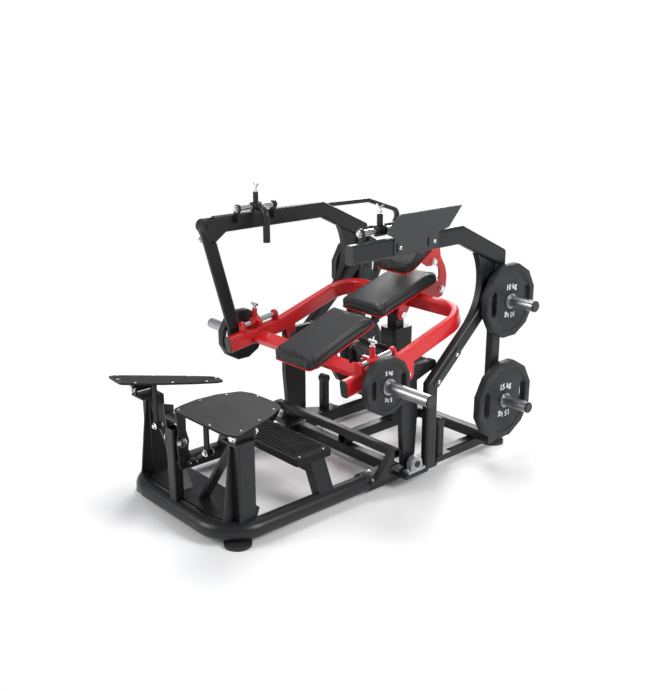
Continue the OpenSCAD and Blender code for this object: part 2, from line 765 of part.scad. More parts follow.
// Bent shield on the outer face of the right beam
module shield() color("#3a3d3f") {
    lower = 253;
    over = -47;
    rise = 100;
    t = 4;
    translate([beam_out, shield_y, beam_z]) {
        rotate([90, 0, 90]) linear_extrude(t) difference() {
            translate([0, -27]) square([lower, beam_h/2 + 27]);
            for (y = [14, 192]) translate([y, 1]) rotate(90) slot_2d(40, 10);
        }
        translate([0, 0, beam_h/2]) rotate([0, 14, 0]) rotate([90, 0, 90]) linear_extrude(t)
            polygon([[0, -2], [0, 4], [over, 25], [over + 33, 87], [over + 60, rise],
                [over + shield_len, rise], [over + shield_len - 52, 10], [lower, -2]]);
        for (y = [34, 230]) translate([t, y, 0]) rotate([0, 90, 0]) {
            cylinder(d = 17, h = 2);
            translate([0, 0, 2]) cylinder(d1 = 14, d2 = 9, h = 3.5);
        }
    }
}

// Light rail on the outer face of the left beam, bent back to the beam's rear end
module hand_rail() color("#2e3032") {
    x = -beam_out - hand_w/2;
    bend = [beam_bend + 344, beam_z + 6];
    hub = [hand_rear - hand_h/2 - hand_r, hand_low + hand_r];
    a = heading(bend, hub) + asin(hand_r/norm(hub - bend));
    mitred_run(x, [[beam_bend - 84, beam_z + 16], bend, hub + hand_r*[-sin(a), cos(a)] + lap*[cos(a), sin(a)]])
        rounded(hand_w, hand_h, 4);
    translate([x, hub[0], hub[1]]) rotate([0, 90, 0]) rotate_extrude(angle = 180 + a)
        translate([hand_r, 0]) scale(1 - 3*slimmer) rounded(hand_h, hand_w, 4);
    strut(x, [post_y - 16, hand_low], [hub[0] + lap, hand_low]) rounded(hand_w, hand_h, 4);
}

// Rods on the beams' inner sides that the hand grips slide on
module beam_rods() color("#c9ccd0") both_sides() {
    translate([grip_rod_x, rod_y[0], rod_z]) rotate([-90, 0, 0])
        cylinder(d = rod_d, h = rod_y[1] - rod_y[0]);
    for (y = [rod_y[0] - 18, rod_y[1] + 12]) translate([grip_rod_x, y, rod_z]) rotate([-90, 0, 0])
        cylinder(d = 20, h = 6);
}

module beam_ears() color("#2b2d2f") both_sides() for (y = [rod_y[0] - 12, rod_y[1]]) {
    translate([grip_rod_x, y, rod_z]) rotate([-90, 0, 0]) cylinder(d = 38, h = 12);
    translate([grip_rod_x - 10, y, beam_z + beam_h/2 - 34])
        cube([beam_x - frame_w/2 - grip_rod_x + 10, 12, 50]);
}

// Sliding block with an upright socket and a bent hand grip
module grip() {
    translate([grip_rod_x, clamp_y, rod_z]) {
        difference() {
            union() {
                rotate([-90, 0, 0]) cylinder(d = 44, h = 44, center = true);
                cylinder(d = 24, h = 66);
                translate([-34, 0, 0]) rotate([0, 90, 0]) cylinder(d = grip_d, h = 20);
            }
            rotate([-90, 0, 0]) cylinder(d = rod_d + 2*run_fit, h = 60, center = true);
            translate([0, 0, 16]) cylinder(d = 10 + 2*run_fit, h = 60);
        }
        translate([-34, 0, -40]) rotate([90, 0, 0]) rotate([0, 0, 90])
            rotate_extrude(angle = 90) translate([40, 0]) circle(d = grip_d);
        translate([-74, 0, -152]) cylinder(d = grip_d, h = 112);
    }
}

// Clamping screw with a wing or T head, seated in the upright socket
module knob(x, y, z, t) {
    translate([x, y, z]) {
        cylinder(d = 10, h = 44);
        translate([0, 0, 40]) cylinder(d = 17, h = 12);
        if (t) translate([0, 0, 59]) rotate([0, 90, 0]) cylinder(d = 12, h = 42, center = true);
        if (t) translate([0, 0, 50]) cylinder(d = 10, h = 9);
        if (!t) for (s = [-1, 1]) translate([0, 0, 50]) rotate([0, s*38, 0]) cylinder(d = 8, h = 28);
    }
}

module grip_right() color("#2b2d2f") grip();
module grip_left() color("#2b2d2f") mirror([1, 0, 0]) grip();
module grip_knob_right() color("#c9ccd0") knob(grip_rod_x, clamp_y, rod_z + 30, false);
module grip_knob_left() color("#c9ccd0") mirror([1, 0, 0]) knob(grip_rod_x, clamp_y, rod_z + 30, false);

// ---------------------------------------------------------------- lock arm

// Fork on the left beam's sides, with the lock arm's hinge bolt
module lock_bracket() color("#2b2d2f") {
    for (x = [-beam_x - fork_half - 8, -beam_x + fork_half]) side_plate(x, x + 8) difference() {
        union() {
            translate(lock_hinge) circle(d = 60);
            translate(lock_hole) circle(d = 34);
            polygon([lock_hinge + [-29, 0], lock_hole + [-17, 0], lock_hole + [17, 0],
                [-beam_front + 52, beam_z - 26], [-beam_front + 60, beam_z + 26],
                lock_hinge + [0, 29]]);
        }
        translate(lock_hinge) circle(d = bolt_d);
        translate(lock_hole) circle(d = 12);
    }
    cross_bar(-beam_x - fork_half - 12, -beam_x + fork_half + 12, lock_hinge, bolt_d);
}

// Flat-oval arm that props the loading sleeve; it swings forward when unpinned
module lock_arm() color("#303335") difference() {
    union() {
        strut(-beam_x, lock_hinge, lock_foot) rounded(lock_w, lock_h, lock_w/2 - 1);
        cross_bar(-beam_x - lock_w/2 - 0.4, -beam_x + lock_w/2 + 0.4, lock_hinge, lock_h - 3);
    }
    strut(-beam_x, lock_hinge + 100*[sin(lock_lean), -cos(lock_lean)], lock_foot + [6, -20])
        rounded(lock_w - 8, lock_h - 8, lock_w/2 - 5);
    cross_bar(-beam_x - 60, -beam_x + 60, lock_hinge, bolt_d + 2*run_fit);
    cross_bar(-beam_x - 60, -beam_x + 60, lock_hole, 12.8);
}

// Pull pin in the bracket's outer plate, drawn back from the lock arm
module lock_pin() color("#c9ccd0") {
    cross_bar(-beam_x - fork_half - 34, -beam_x - fork_half, lock_hole, 12);
    cross_bar(-beam_x - fork_half - 22, -beam_x - fork_half - 8, lock_hole, 22);
    cross_bar(-beam_x - fork_half - 46, -beam_x - fork_half - 34, lock_hole, 26);
}

// ---------------------------------------------------------------- swing levers

// Foot-mounted bearing with its bolts, its shaft along X
module pillow_block() {
    w = 34;
    translate([bearing_x, base_pivot[0], pad_top]) {
        difference() {
            union() {
                translate([-w/2, -52, 0]) cube([w, 104, 13]);
                translate([-w/2 + 3, 0, bearing_rise]) rotate([0, 90, 0]) cylinder(d = 66, h = w - 6);
                translate([-w/2 + 3, -33, 4]) cube([w - 6, 66, bearing_rise - 4]);
                translate([-w/2, 0, bearing_rise]) rotate([0, 90, 0]) cylinder(d = 48, h = w);
            }
            translate([0, 0, bearing_rise]) rotate([0, 90, 0])
                cylinder(d = shaft_d + 2*run_fit, h = w + 10, center = true);
        }
        for (s = [-1, 1]) translate([0, s*42, 13]) bolt_head(9);
    }
}

module pillow_blocks() color("#a8abae") both_sides() pillow_block();

module lever_outline() {
    difference() {
        union() {
            polygon([base_pivot + [-34, 6], base_pivot + [34, 6], base_pivot + [46, 220],
                top_pivot + [56, -40], lever_bar + [16, -15], lever_bar + [0, 21], top_pivot + [20, 30],
                top_pivot + [-30, 14], base_pivot + [-52, 220]]);
            translate(base_pivot) circle(34);
            translate(top_pivot) circle(32);
            translate(lever_bar) circle(lever_bar_d/2 + 4);
        }
        translate(base_pivot) circle(d = shaft_d);
        translate(top_pivot) circle(d = bolt_d + 2*run_fit);
        translate(lever_bar) circle(d = lever_bar_d);
    }
}

module levers() color("#26282a") {
    both_sides() {
        side_plate(lever_x - lever_t/2, lever_x + lever_t/2) lever_outline();
        cross_bar(lever_x - lever_t/2, beam_out + 1, base_pivot, shaft_d);
    }
    translate([-lever_x - lever_t/2, lever_bar[0], lever_bar[1]]) rotate([0, 90, 0])
        cylinder(d = lever_bar_d, h = 2*lever_x + lever_t);
}

module rear_link() color("#222426") {
    box_w = 100;
    box_d = 124;
    low = link_base[1] + 46;
    high = link_top[1] - 62;
    mid = (link_base[0] + link_top[0])/2 - 2;
    difference() {
        union() {
            translate([0, mid, low]) linear_extrude(high - low) rounded(box_w, box_d, 14);
            side_plate(-link_w/2, link_w/2) {
                translate(link_base) circle(24);
                translate(link_base - [24, 0]) square([48, 50]);
                translate(link_top) circle(24);
                translate(link_top - [24, 66]) square([48, 66]);
            }
        }
        cross_bar(-100, 100, link_base, bolt_d + 2*run_fit);
        cross_bar(-100, 100, link_top, bolt_d + 2*open_fit);
    }
}

// ---------------------------------------------------------------- red carriage

module on_yoke() {
    translate([0, arm_bend[0], arm_bend[1]]) rotate([yoke_tilt, 0, 0]) children();
}

// Arms with their straight rear runs up to the corners
module red_arms() color("#c8202a") both_sides() {
    corner = yoke_len - yoke_r;
    far = arm_bend + corner*[cos(yoke_tilt), sin(yoke_tilt)];
    tube_run(arm_x, [arm_front, arm_bend, far], arm_w, arm_h, 13);
}

// Rear corners and cross run of the red frame
module yoke_tube() color("#c8202a") on_yoke() {
    corner = yoke_len - yoke_r;
    both_sides() {
        translate([arm_x - yoke_r, corner, 0]) rotate_extrude(angle = 90)
            translate([yoke_r, 0]) tube_wall_2d(arm_w, arm_h, 13);
        translate([0, yoke_len, 0]) rotate([90, 0, 90]) linear_extrude(arm_x - yoke_r)
            tube_wall_2d(arm_w, arm_h, 13);
    }
}

// Plugs in the arms' front ends and in the loading sleeves
module carriage_caps() color("#2b2c2d") both_sides() {
    dir = [cos(arm_tilt), sin(arm_tilt)];
    strut(arm_x, arm_front - 5*dir, arm_front) rounded(arm_w, arm_h, 13);
    sleeve_cap(horn_tip, [horn_y, horn_z]);
}

// Space taken by the right arm
module arm_space() {
    far = arm_bend + (yoke_len - yoke_r)*[cos(yoke_tilt), sin(yoke_tilt)];
    mitred_run(arm_x, [arm_front, arm_bend, far]) rounded(arm_w, arm_h, 13);
}

module yoke_space() {
    on_yoke() translate([-200, yoke_len - arm_w/2, -arm_h/2]) cube([400, arm_w, arm_h]);
}

// Side lugs for the levers and the rear link, ears for the belt rods, seat carrier
module arm_brackets() color("#c8202a") {
    both_sides() difference() {
        union() {
            for (x = [arm_x - lever_t/2 - facing/2 - cheek_t, arm_x + lever_t/2 + facing/2])
                side_plate(x, x + cheek_t) difference() {
                    union() {
                        translate(top_pivot) circle(26);
                        translate(top_pivot - [26, 0]) square([52, 70]);
                    }
                    translate(top_pivot) circle(d = bolt_d);
                }
            for (y = [belt_ends[0] - 14, belt_ends[1]]) belt_ear(y);
            on_seat() translate([0, 78, -pad_t - 26]) cube([arm_x - 2, 66, 26]);
        }
        arm_space();
    }
    for (s = [-1, 1]) difference() {
        side_plate(s*(link_w/2 + 7) - 5, s*(link_w/2 + 7) + 5) difference() {
            union() {
                translate(link_top) circle(26);
                polygon([link_top + [-26, 0], link_top + [26, -4], link_top + [74, 66],
                    link_top + [-18, 66]]);
            }
            translate(link_top) circle(d = bolt_d);
        }
        yoke_space();
    }
}

// Upright ear on the arm, y measured along the belt rod from its middle
module belt_ear(y) {
    on_belt_rod() translate([0, y, 0]) {
        rotate([-90, 0, 0]) cylinder(d = 42, h = 14);
        translate([-20, 0, -50]) cube([40, 14, 50]);
    }
}

module on_belt_rod() {
    mid = on_arm(-81) + [0, belt_rise];
    translate([arm_x, mid[0], mid[1]]) rotate([arm_tilt, 0, 0]) children();
}

module belt_rods() color("#c9ccd0") both_sides() on_belt_rod()
    translate([0, belt_ends[0], 0]) rotate([-90, 0, 0]) cylinder(d = rod_d, h = belt_ends[1] - belt_ends[0]);

module carriage_pins() color("#c9ccd0") {
    near = arm_x - lever_t/2 - facing/2 - cheek_t;
    far = arm_x + lever_t/2 + facing/2 + cheek_t;
    both_sides() {
        cross_bar(near - 12, far, top_pivot, bolt_d);
        cross_bar(near - 12, near, top_pivot, 32);
        for (p = [[560, 880], [620, 742]]) {
            cross_bar(head_plate_x + 4, head_plate_x + 8, p, 34);
            cross_bar(head_plate_x + 8, head_plate_x + 17, p, 26);
        }
    }
    cross_bar(-link_w/2 - 14, link_w/2 + 14, link_top, bolt_d);
    for (s = [-1, 1]) cross_bar(s*(link_w/2 + 12), s*(link_w/2 + 26), link_top, 32);
}

// Black rails that carry the pads
module pad_frame() color("#1f2122") difference() {
    both_sides() translate([68, 0, 0]) {
        on_seat() translate([0, 60, -pad_t - 24]) cube([26, seat_len - 10, 24]);
        on_back() translate([0, 0, -pad_t - 24]) cube([26, back_len - 30, 24]);
    }
    yoke_space();
    on_seat() translate([-200, 78, -pad_t - 26]) cube([400, 66, 26]);
    on_seat() translate([-200, 0, -pad_t]) cube([400, seat_len, pad_t]);
    on_back() translate([-200, 0, -pad_t]) cube([400, back_len, pad_t]);
}

// Red side plates that rise from the rear cross run to the head pad
module head_bracket() color("#c8202a") {
    difference() {
        for (s = [-1, 1]) side_plate(s*head_plate_x - 4, s*head_plate_x + 4)
            polygon([[482, 744], [490, 680], [560, 688], [628, 708], [652, 748], [656, 800],
                [644, 846], [610, 900], [598, 964], [476, 891], [520, 864], [580, 862],
                [600, 848], [606, 812], [596, 784], [560, 768]]);
        yoke_space();
        on_head() translate([-200, 0, 0]) cube([400, 400, 100]);
    }
    on_head() translate([-head_plate_x, 90, -7]) cube([2*head_plate_x, 90, 7]);
}

module on_seat() {
    translate([0, seat_front[0], seat_front[1]]) rotate([seat_tilt, 0, 0]) children();
}

module on_back() {
    translate([0, back_front[0], back_front[1]]) rotate([back_tilt, 0, 0]) children();
}

module on_head() {
    translate([0, head_front[0], head_front[1]]) rotate([head_tilt, 0, 0]) children();
}

// Upholstered pad: w by len, its upper face on z = 0, tapered towards the front
module pad(w, len, taper) {
    translate([0, len/2, -pad_t]) linear_extrude(pad_t) {
        r = 26;
        for (s = [-1, 1]) {
            translate([s*(w/2 - r), len/2 - r]) circle(r);
            translate([s*(w/2 - r - taper), r - len/2]) circle(r);
        }
        polygon([[r + taper - w/2, -len/2], [w/2 - r - taper, -len/2],
            [w/2 - taper, r - len/2], [w/2, r + taper - len/2], [w/2, len/2 - r],
            [w/2 - r, len/2], [r - w/2, len/2], [-w/2, len/2 - r],
            [-w/2, r + taper - len/2], [taper - w/2, r - len/2]]);
    }
}

module seat_pad() color("#1b1c1d") on_seat() pad(pad_w, seat_len, 9);
module back_pad() color("#1b1c1d") on_back() pad(pad_w, back_len, 0);
module head_pad() color("#1b1c1d") on_head() translate([0, 0, pad_t]) pad(head_w, head_len, 11);

module load_horns() color("#b9bcbf") both_sides() {
    difference() {
        sleeve(arm_x, [horn_y, horn_z], horn_tip - arm_x, plate5_x + plate_t + 4 - arm_x);
        arm_space();
    }
    translate([plate5_x - 9, horn_y, horn_z]) rotate([0, 90, 0]) cylinder(d = 72, h = 7);
}

module small_plates() color("#3b3d3f") both_sides()
    weight_plate(plate5_x, [horn_y, horn_z], plate5_d);

// Sliding clamp on a belt rod, with its upright socket and a strap eye
module belt_clamp() difference() {
    on_belt_rod() translate([0, belt_park, 0]) {
        rotate([-90, 0, 0]) cylinder(d = 42, h = 46, center = true);
        rotate([-arm_tilt, 0, 0]) cylinder(d = 24, h = 62);
        translate([-52, -6, -14]) cube([40, 12, 28]);
    }
    on_belt_rod() translate([0, belt_park, 0]) {
        rotate([-90, 0, 0]) cylinder(d = rod_d + 2*run_fit, h = 70, center = true);
        rotate([-arm_tilt, 0, 0]) translate([0, 0, 16]) cylinder(d = 10 + 2*run_fit, h = 60);
        translate([-40, 0, 0]) rotate([90, 0, 0]) cylinder(d = 13, h = 40, center = true);
    }
}

module belt_knob() {
    p = on_arm(-81) + [0, belt_rise] + belt_park*[cos(arm_tilt), sin(arm_tilt)];
    knob(arm_x, p[0], p[1] + 24, true);
}

module belt_clamp_right() color("#c8202a") belt_clamp();
module belt_clamp_left() color("#c8202a") mirror([1, 0, 0]) belt_clamp();
module belt_knob_right() color("#c9ccd0") belt_knob();
module belt_knob_left() color("#c9ccd0") mirror([1, 0, 0]) belt_knob();

// ---------------------------------------------------------------- drawing

front_loop();
front_deck();
rear_rails();
splice_plates();
cross_tube();
low_cross_tube();
stop_posts();
cross_legs();
rear_cross_tube();
spine_tube();
link_pedestal();
levelling_feet();
step_plank();
step_legs();
foot_posts();
centre_mast();
stand_pins();
foot_plate_right();
foot_plate_left();
tie_rod_right();
tie_rod_left();
rear_posts();
diagonals();
upper_beams();
gussets();
cover_strips();
tube_caps();
storage_horns();
storage_plates();
shield();
hand_rail();
beam_rods();
beam_ears();
grip_right();
grip_left();
grip_knob_right();
grip_knob_left();
lock_bracket();
lock_arm();
lock_pin();
pillow_blocks();
levers();
rear_link();
red_arms();
yoke_tube();
carriage_caps();
arm_brackets();
carriage_pins();
belt_rods();
pad_frame();
head_bracket();
seat_pad();
back_pad();
head_pad();
load_horns();
small_plates();
belt_clamp_right();
belt_clamp_left();
belt_knob_right();
belt_knob_left();
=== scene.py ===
"""Plate-loaded leg press: finishes, upholstery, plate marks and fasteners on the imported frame."""
import json
from math import cos, pi, radians, sin

import bmesh
import bpy
import numpy as np
from mathutils import Matrix, Vector


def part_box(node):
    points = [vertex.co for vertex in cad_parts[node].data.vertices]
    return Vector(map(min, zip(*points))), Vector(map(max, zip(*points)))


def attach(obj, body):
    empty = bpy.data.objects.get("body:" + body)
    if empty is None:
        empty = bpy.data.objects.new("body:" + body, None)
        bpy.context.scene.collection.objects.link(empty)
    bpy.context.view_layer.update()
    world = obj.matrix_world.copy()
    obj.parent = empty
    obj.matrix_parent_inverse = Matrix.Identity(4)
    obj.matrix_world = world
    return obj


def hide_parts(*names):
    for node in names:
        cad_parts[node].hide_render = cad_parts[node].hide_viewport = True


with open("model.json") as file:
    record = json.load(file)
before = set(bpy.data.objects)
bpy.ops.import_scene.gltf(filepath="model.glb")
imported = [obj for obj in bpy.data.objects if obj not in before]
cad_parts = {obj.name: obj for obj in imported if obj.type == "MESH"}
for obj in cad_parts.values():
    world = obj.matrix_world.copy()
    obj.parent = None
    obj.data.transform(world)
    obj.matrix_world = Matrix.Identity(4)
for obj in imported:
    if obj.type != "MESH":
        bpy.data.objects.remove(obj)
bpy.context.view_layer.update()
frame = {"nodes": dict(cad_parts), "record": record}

bl_info = {
    "name": "Leg press finisher",
    "version": (1, 0, 0),
    "blender": (4, 5, 0),
    "location": "View3D > Sidebar > Press",
    "description": "Upholstery, plate marks, grips, fasteners and finishes for a leg press frame",
    "category": "Object",
}

NODES = frame["nodes"]
MM = 0.001
X_AXIS = Vector((1, 0, 0))
Y_AXIS = Vector((0, 1, 0))
Z_AXIS = Vector((0, 0, 1))
FINISH = {}  # the materials by name, filled by the first operator


# ---------------------------------------------------------------- settings

def colour_prop(name, description, default):
    return bpy.props.FloatVectorProperty(name=name, description=description, default=default,
                                         size=3, subtype="COLOR", min=0, max=1)


def size_prop(name, description, default):
    return bpy.props.FloatProperty(name=name, description=description, default=default,
                                   min=0, unit="LENGTH", subtype="DISTANCE")


class PressFinishes(bpy.types.PropertyGroup):
    """Colours of the coats and coverings"""
    frame_black: colour_prop("Frame", "Powder coat of the fixed frame", (0.011, 0.0115, 0.0125))
    carriage_red: colour_prop("Carriage", "Powder coat of the carriage", (0.56, 0.008, 0.012))
    vinyl: colour_prop("Vinyl", "Covering of the pads", (0.013, 0.0135, 0.0145))
    plate_rubber: colour_prop("Plates", "Rubber coat of the weight plates", (0.016, 0.017, 0.019))
    marks: colour_prop("Marks", "Numbers on the weight plates", (0.80, 0.80, 0.80))
    shield_grey: colour_prop("Shield", "Coat of the shield", (0.030, 0.032, 0.035))
    steel: colour_prop("Steel", "Bright steel of the sleeves", (0.46, 0.46, 0.465))
    chrome: colour_prop("Chrome", "Plated pins and knobs", (0.80, 0.81, 0.82))


class PressSizes(bpy.types.PropertyGroup):
    """Sizes of what is added to the frame"""
    board: size_prop("Board", "Thickness of the boards under the pads", 3.4*MM)
    swell: size_prop("Swell", "Most that a pad's cover bulges", 6*MM)
    voxel: size_prop("Voxel", "Cell of the pads' remesh", 5*MM)
    seam: size_prop("Seam", "Depth of a sewn channel", 2.2*MM)
    screw: size_prop("Screw", "Radius of the foot plates' screw heads", 4.6*MM)
    stud: size_prop("Stud", "Radius of the grip studs", 2.1*MM)
    stud_pitch: size_prop("Stud pitch", "Spacing of the grip studs", 9*MM)
    plate_bevel: size_prop("Plate bevel", "Rounding of the weight plates' edges", 2.4*MM)


def finishes():
    """The colours set in the panel"""
    return bpy.context.scene.press_finishes


def sizes():
    """The sizes set in the panel"""
    return bpy.context.scene.press_sizes


# ---------------------------------------------------------------- shader groups

def new_group(name, inputs, outputs):
    """A shader group with its input and output nodes; sockets are (name, kind, default)"""
    group = bpy.data.node_groups.new(name, "ShaderNodeTree")
    for label, kind, default in inputs:
        socket = group.interface.new_socket(label, in_out="INPUT", socket_type=kind)
        if default is not None:
            socket.default_value = default
    for label, kind in outputs:
        group.interface.new_socket(label, in_out="OUTPUT", socket_type=kind)
    return group, group.nodes.new("NodeGroupInput"), group.nodes.new("NodeGroupOutput")


def fill(tree, node, values):
    """The node, with its inputs set from values or linked from sockets"""
    for key, value in values.items():
        if isinstance(value, bpy.types.NodeSocket):
            tree.links.new(value, node.inputs[key])
        else:
            node.inputs[key].default_value = value
    return node


def add(tree, kind, values=None, **settings):
    """A new node with its settings and its inputs"""
    node = tree.nodes.new(kind)
    for key, value in settings.items():
        setattr(node, key, value)
    return fill(tree, node, values or {})


def maths(tree, operation, a, b=0.0, clamp=False):
    """Result of one sum on two values"""
    return add(tree, "ShaderNodeMath", {0: a, 1: b}, operation=operation, use_clamp=clamp).outputs[0]


def blend(tree, factor, first, second, colour=False):
    """Mix of two values, or of two colours"""
    kind, a, b, out = ("RGBA", 6, 7, 2) if colour else ("FLOAT", 2, 3, 0)
    return add(tree, "ShaderNodeMix", {0: factor, a: first, b: second}, data_type=kind).outputs[out]


FLOAT = "NodeSocketFloat"
COLOUR = "NodeSocketColor"
VECTOR = "NodeSocketVector"


def mottle_group():
    """Slow variation of a coat's colour and roughness, with dust on what faces up"""
    group, start, end = new_group(
        "Mottle", [("Vector", VECTOR, None), ("Colour", COLOUR, (0.5, 0.5, 0.5, 1)),
                   ("Spread", FLOAT, 0.15), ("Roughness", FLOAT, 0.4), ("Uneven", FLOAT, 0.1),
                   ("Scale", FLOAT, 9.0), ("Dust", FLOAT, 0.03)],
        [("Colour", COLOUR), ("Roughness", FLOAT)])
    inp = start.outputs
    slow = add(group, "ShaderNodeTexNoise", {"Vector": inp["Vector"], "Scale": inp["Scale"],
                                             "Detail": 6.0, "Roughness": 0.6})
    centred = maths(group, "SUBTRACT", slow.outputs["Fac"], 0.5)
    gain = maths(group, "ADD", 1.0, maths(group, "MULTIPLY", centred, inp["Spread"]))
    tone = add(group, "ShaderNodeVectorMath", {0: inp["Colour"], "Scale": gain}, operation="SCALE")
    surface = add(group, "ShaderNodeNewGeometry")
    facing = add(group, "ShaderNodeSeparateXYZ", {0: surface.outputs["Normal"]})
    up = maths(group, "MULTIPLY", maths(group, "MAXIMUM", facing.outputs["Z"], 0.0), inp["Dust"])
    dust = blend(group, up, tone.outputs[0], (0.42, 0.40, 0.38, 1), colour=True)
    rough = maths(group, "ADD", inp["Roughness"], maths(group, "MULTIPLY", centred, inp["Uneven"]), True)
    group.links.new(dust, end.inputs["Colour"])
    group.links.new(rough, end.inputs["Roughness"])
    return group


def edge_group():
    """Mask of rubbed edges, broken up by a noise"""
    group, start, end = new_group(
        "Rubbed edges", [("Vector", VECTOR, None), ("Radius", FLOAT, 0.0015), ("Amount", FLOAT, 0.5)],
        [("Mask", FLOAT)])
    inp = start.outputs
    rounded = add(group, "ShaderNodeBevel", {"Radius": inp["Radius"]}, samples=4)
    flat = add(group, "ShaderNodeNewGeometry")
    same = add(group, "ShaderNodeVectorMath", {0: rounded.outputs[0], 1: flat.outputs["Normal"]},
               operation="DOT_PRODUCT")
    bend = maths(group, "MULTIPLY", maths(group, "SUBTRACT", 1.0, same.outputs["Value"]), 4.0, True)
    patchy = add(group, "ShaderNodeTexNoise", {"Vector": inp["Vector"], "Scale": 70.0, "Detail": 4.0})
    mask = maths(group, "MULTIPLY", bend, maths(group, "POWER", patchy.outputs["Fac"], 1.6))
    group.links.new(maths(group, "MULTIPLY", mask, inp["Amount"], True), end.inputs["Mask"])
    return group


def peel_group():
    """Height of a sprayed or moulded skin: fine peel on a slow waviness"""
    group, start, end = new_group(
        "Peel", [("Vector", VECTOR, None), ("Fine", FLOAT, 900.0), ("Slow", FLOAT, 60.0),
                 ("Balance", FLOAT, 0.3)], [("Height", FLOAT)])
    inp = start.outputs
    fine, slow = (add(group, "ShaderNodeTexNoise", {"Vector": inp["Vector"], "Scale": inp[size],
                                                    "Detail": 2.0}) for size in ("Fine", "Slow"))
    both = blend(group, inp["Balance"], fine.outputs["Fac"], slow.outputs["Fac"])
    group.links.new(both, end.inputs["Height"])
    return group


def grain_group():
    """Height of leather grain: soft cells with creases between them"""
    group, start, end = new_group("Vinyl grain", [("Vector", VECTOR, None), ("Scale", FLOAT, 620.0)],
                                  [("Height", FLOAT)])
    inp = start.outputs
    stir = add(group, "ShaderNodeTexNoise", {"Vector": inp["Vector"], "Scale": 160.0, "Detail": 2.0})
    shift = add(group, "ShaderNodeVectorMath", {0: stir.outputs["Color"], "Scale": 0.004},
                operation="SCALE")
    moved = add(group, "ShaderNodeVectorMath", {0: inp["Vector"], 1: shift.outputs[0]}, operation="ADD")
    cells = add(group, "ShaderNodeTexVoronoi", {"Vector": moved.outputs[0], "Scale": inp["Scale"]},
                feature="DISTANCE_TO_EDGE")
    soft = maths(group, "POWER", maths(group, "MULTIPLY", cells.outputs["Distance"], 2.4, True), 0.5)
    group.links.new(soft, end.inputs["Height"])
    return group


def turned_group():
    """Height of fine tool marks round the X axis"""
    group, start, end = new_group("Turned", [("Vector", VECTOR, None), ("Scale", FLOAT, 1600.0)],
                                  [("Height", FLOAT)])
    inp = start.outputs
    parts = add(group, "ShaderNodeSeparateXYZ", {0: inp["Vector"]})
    scaled = maths(group, "MULTIPLY", parts.outputs["X"], inp["Scale"])
    along = add(group, "ShaderNodeCombineXYZ", {"X": scaled})
    marks = add(group, "ShaderNodeTexNoise", {"Vector": along.outputs[0], "Scale": 1.0, "Detail": 3.0})
    group.links.new(marks.outputs["Fac"], end.inputs["Height"])
    return group


GROUP_MAKERS = {"Mottle": mottle_group, "Rubbed edges": edge_group, "Peel": peel_group,
                "Vinyl grain": grain_group, "Turned": turned_group}


def group_node(tree, name, values):
    """A node of one of the shared groups, which is made when first needed"""
    node = tree.nodes.new("ShaderNodeGroup")
    node.node_tree = bpy.data.node_groups.get(name) or GROUP_MAKERS[name]()
    return fill(tree, node, values)


# ---------------------------------------------------------------- materials

def coat(name, colour, roughness, spread=0.15, uneven=0.12, dust=0.02, metallic=0.0, clear=0.0,
         relief=("Peel", {}), height=0.0004, strength=0.3, worn=None, wear=0.0, mottle=9.0, **sockets):
    """A Principled material whose colour, roughness, wear and bump come from the shared groups"""
    mat = bpy.data.materials.new(name)
    mat.use_nodes = True
    tree = mat.node_tree
    shader = tree.nodes["Principled BSDF"]
    where = add(tree, "ShaderNodeTexCoord").outputs["Object"]
    skin = group_node(tree, "Mottle", {"Vector": where, "Colour": (*colour, 1), "Spread": spread,
                                       "Roughness": roughness, "Uneven": uneven, "Dust": dust,
                                       "Scale": mottle})
    shown = skin.outputs["Colour"]
    if worn:
        edges = group_node(tree, "Rubbed edges", {"Vector": where, "Amount": wear})
        shown = blend(tree, edges.outputs["Mask"], shown, (*worn, 1), colour=True)
    tree.links.new(shown, shader.inputs["Base Color"])
    tree.links.new(skin.outputs["Roughness"], shader.inputs["Roughness"])
    kind, values = relief
    form = group_node(tree, kind, {"Vector": where, **values})
    bump = add(tree, "ShaderNodeBump", {"Height": form.outputs["Height"], "Strength": strength,
                                        "Distance": height})
    tree.links.new(bump.outputs["Normal"], shader.inputs["Normal"])
    shader.inputs["Metallic"].default_value = metallic
    shader.inputs["Coat Weight"].default_value = clear
    for key, value in sockets.items():
        shader.inputs[key.replace("_", " ")].default_value = value
    return mat


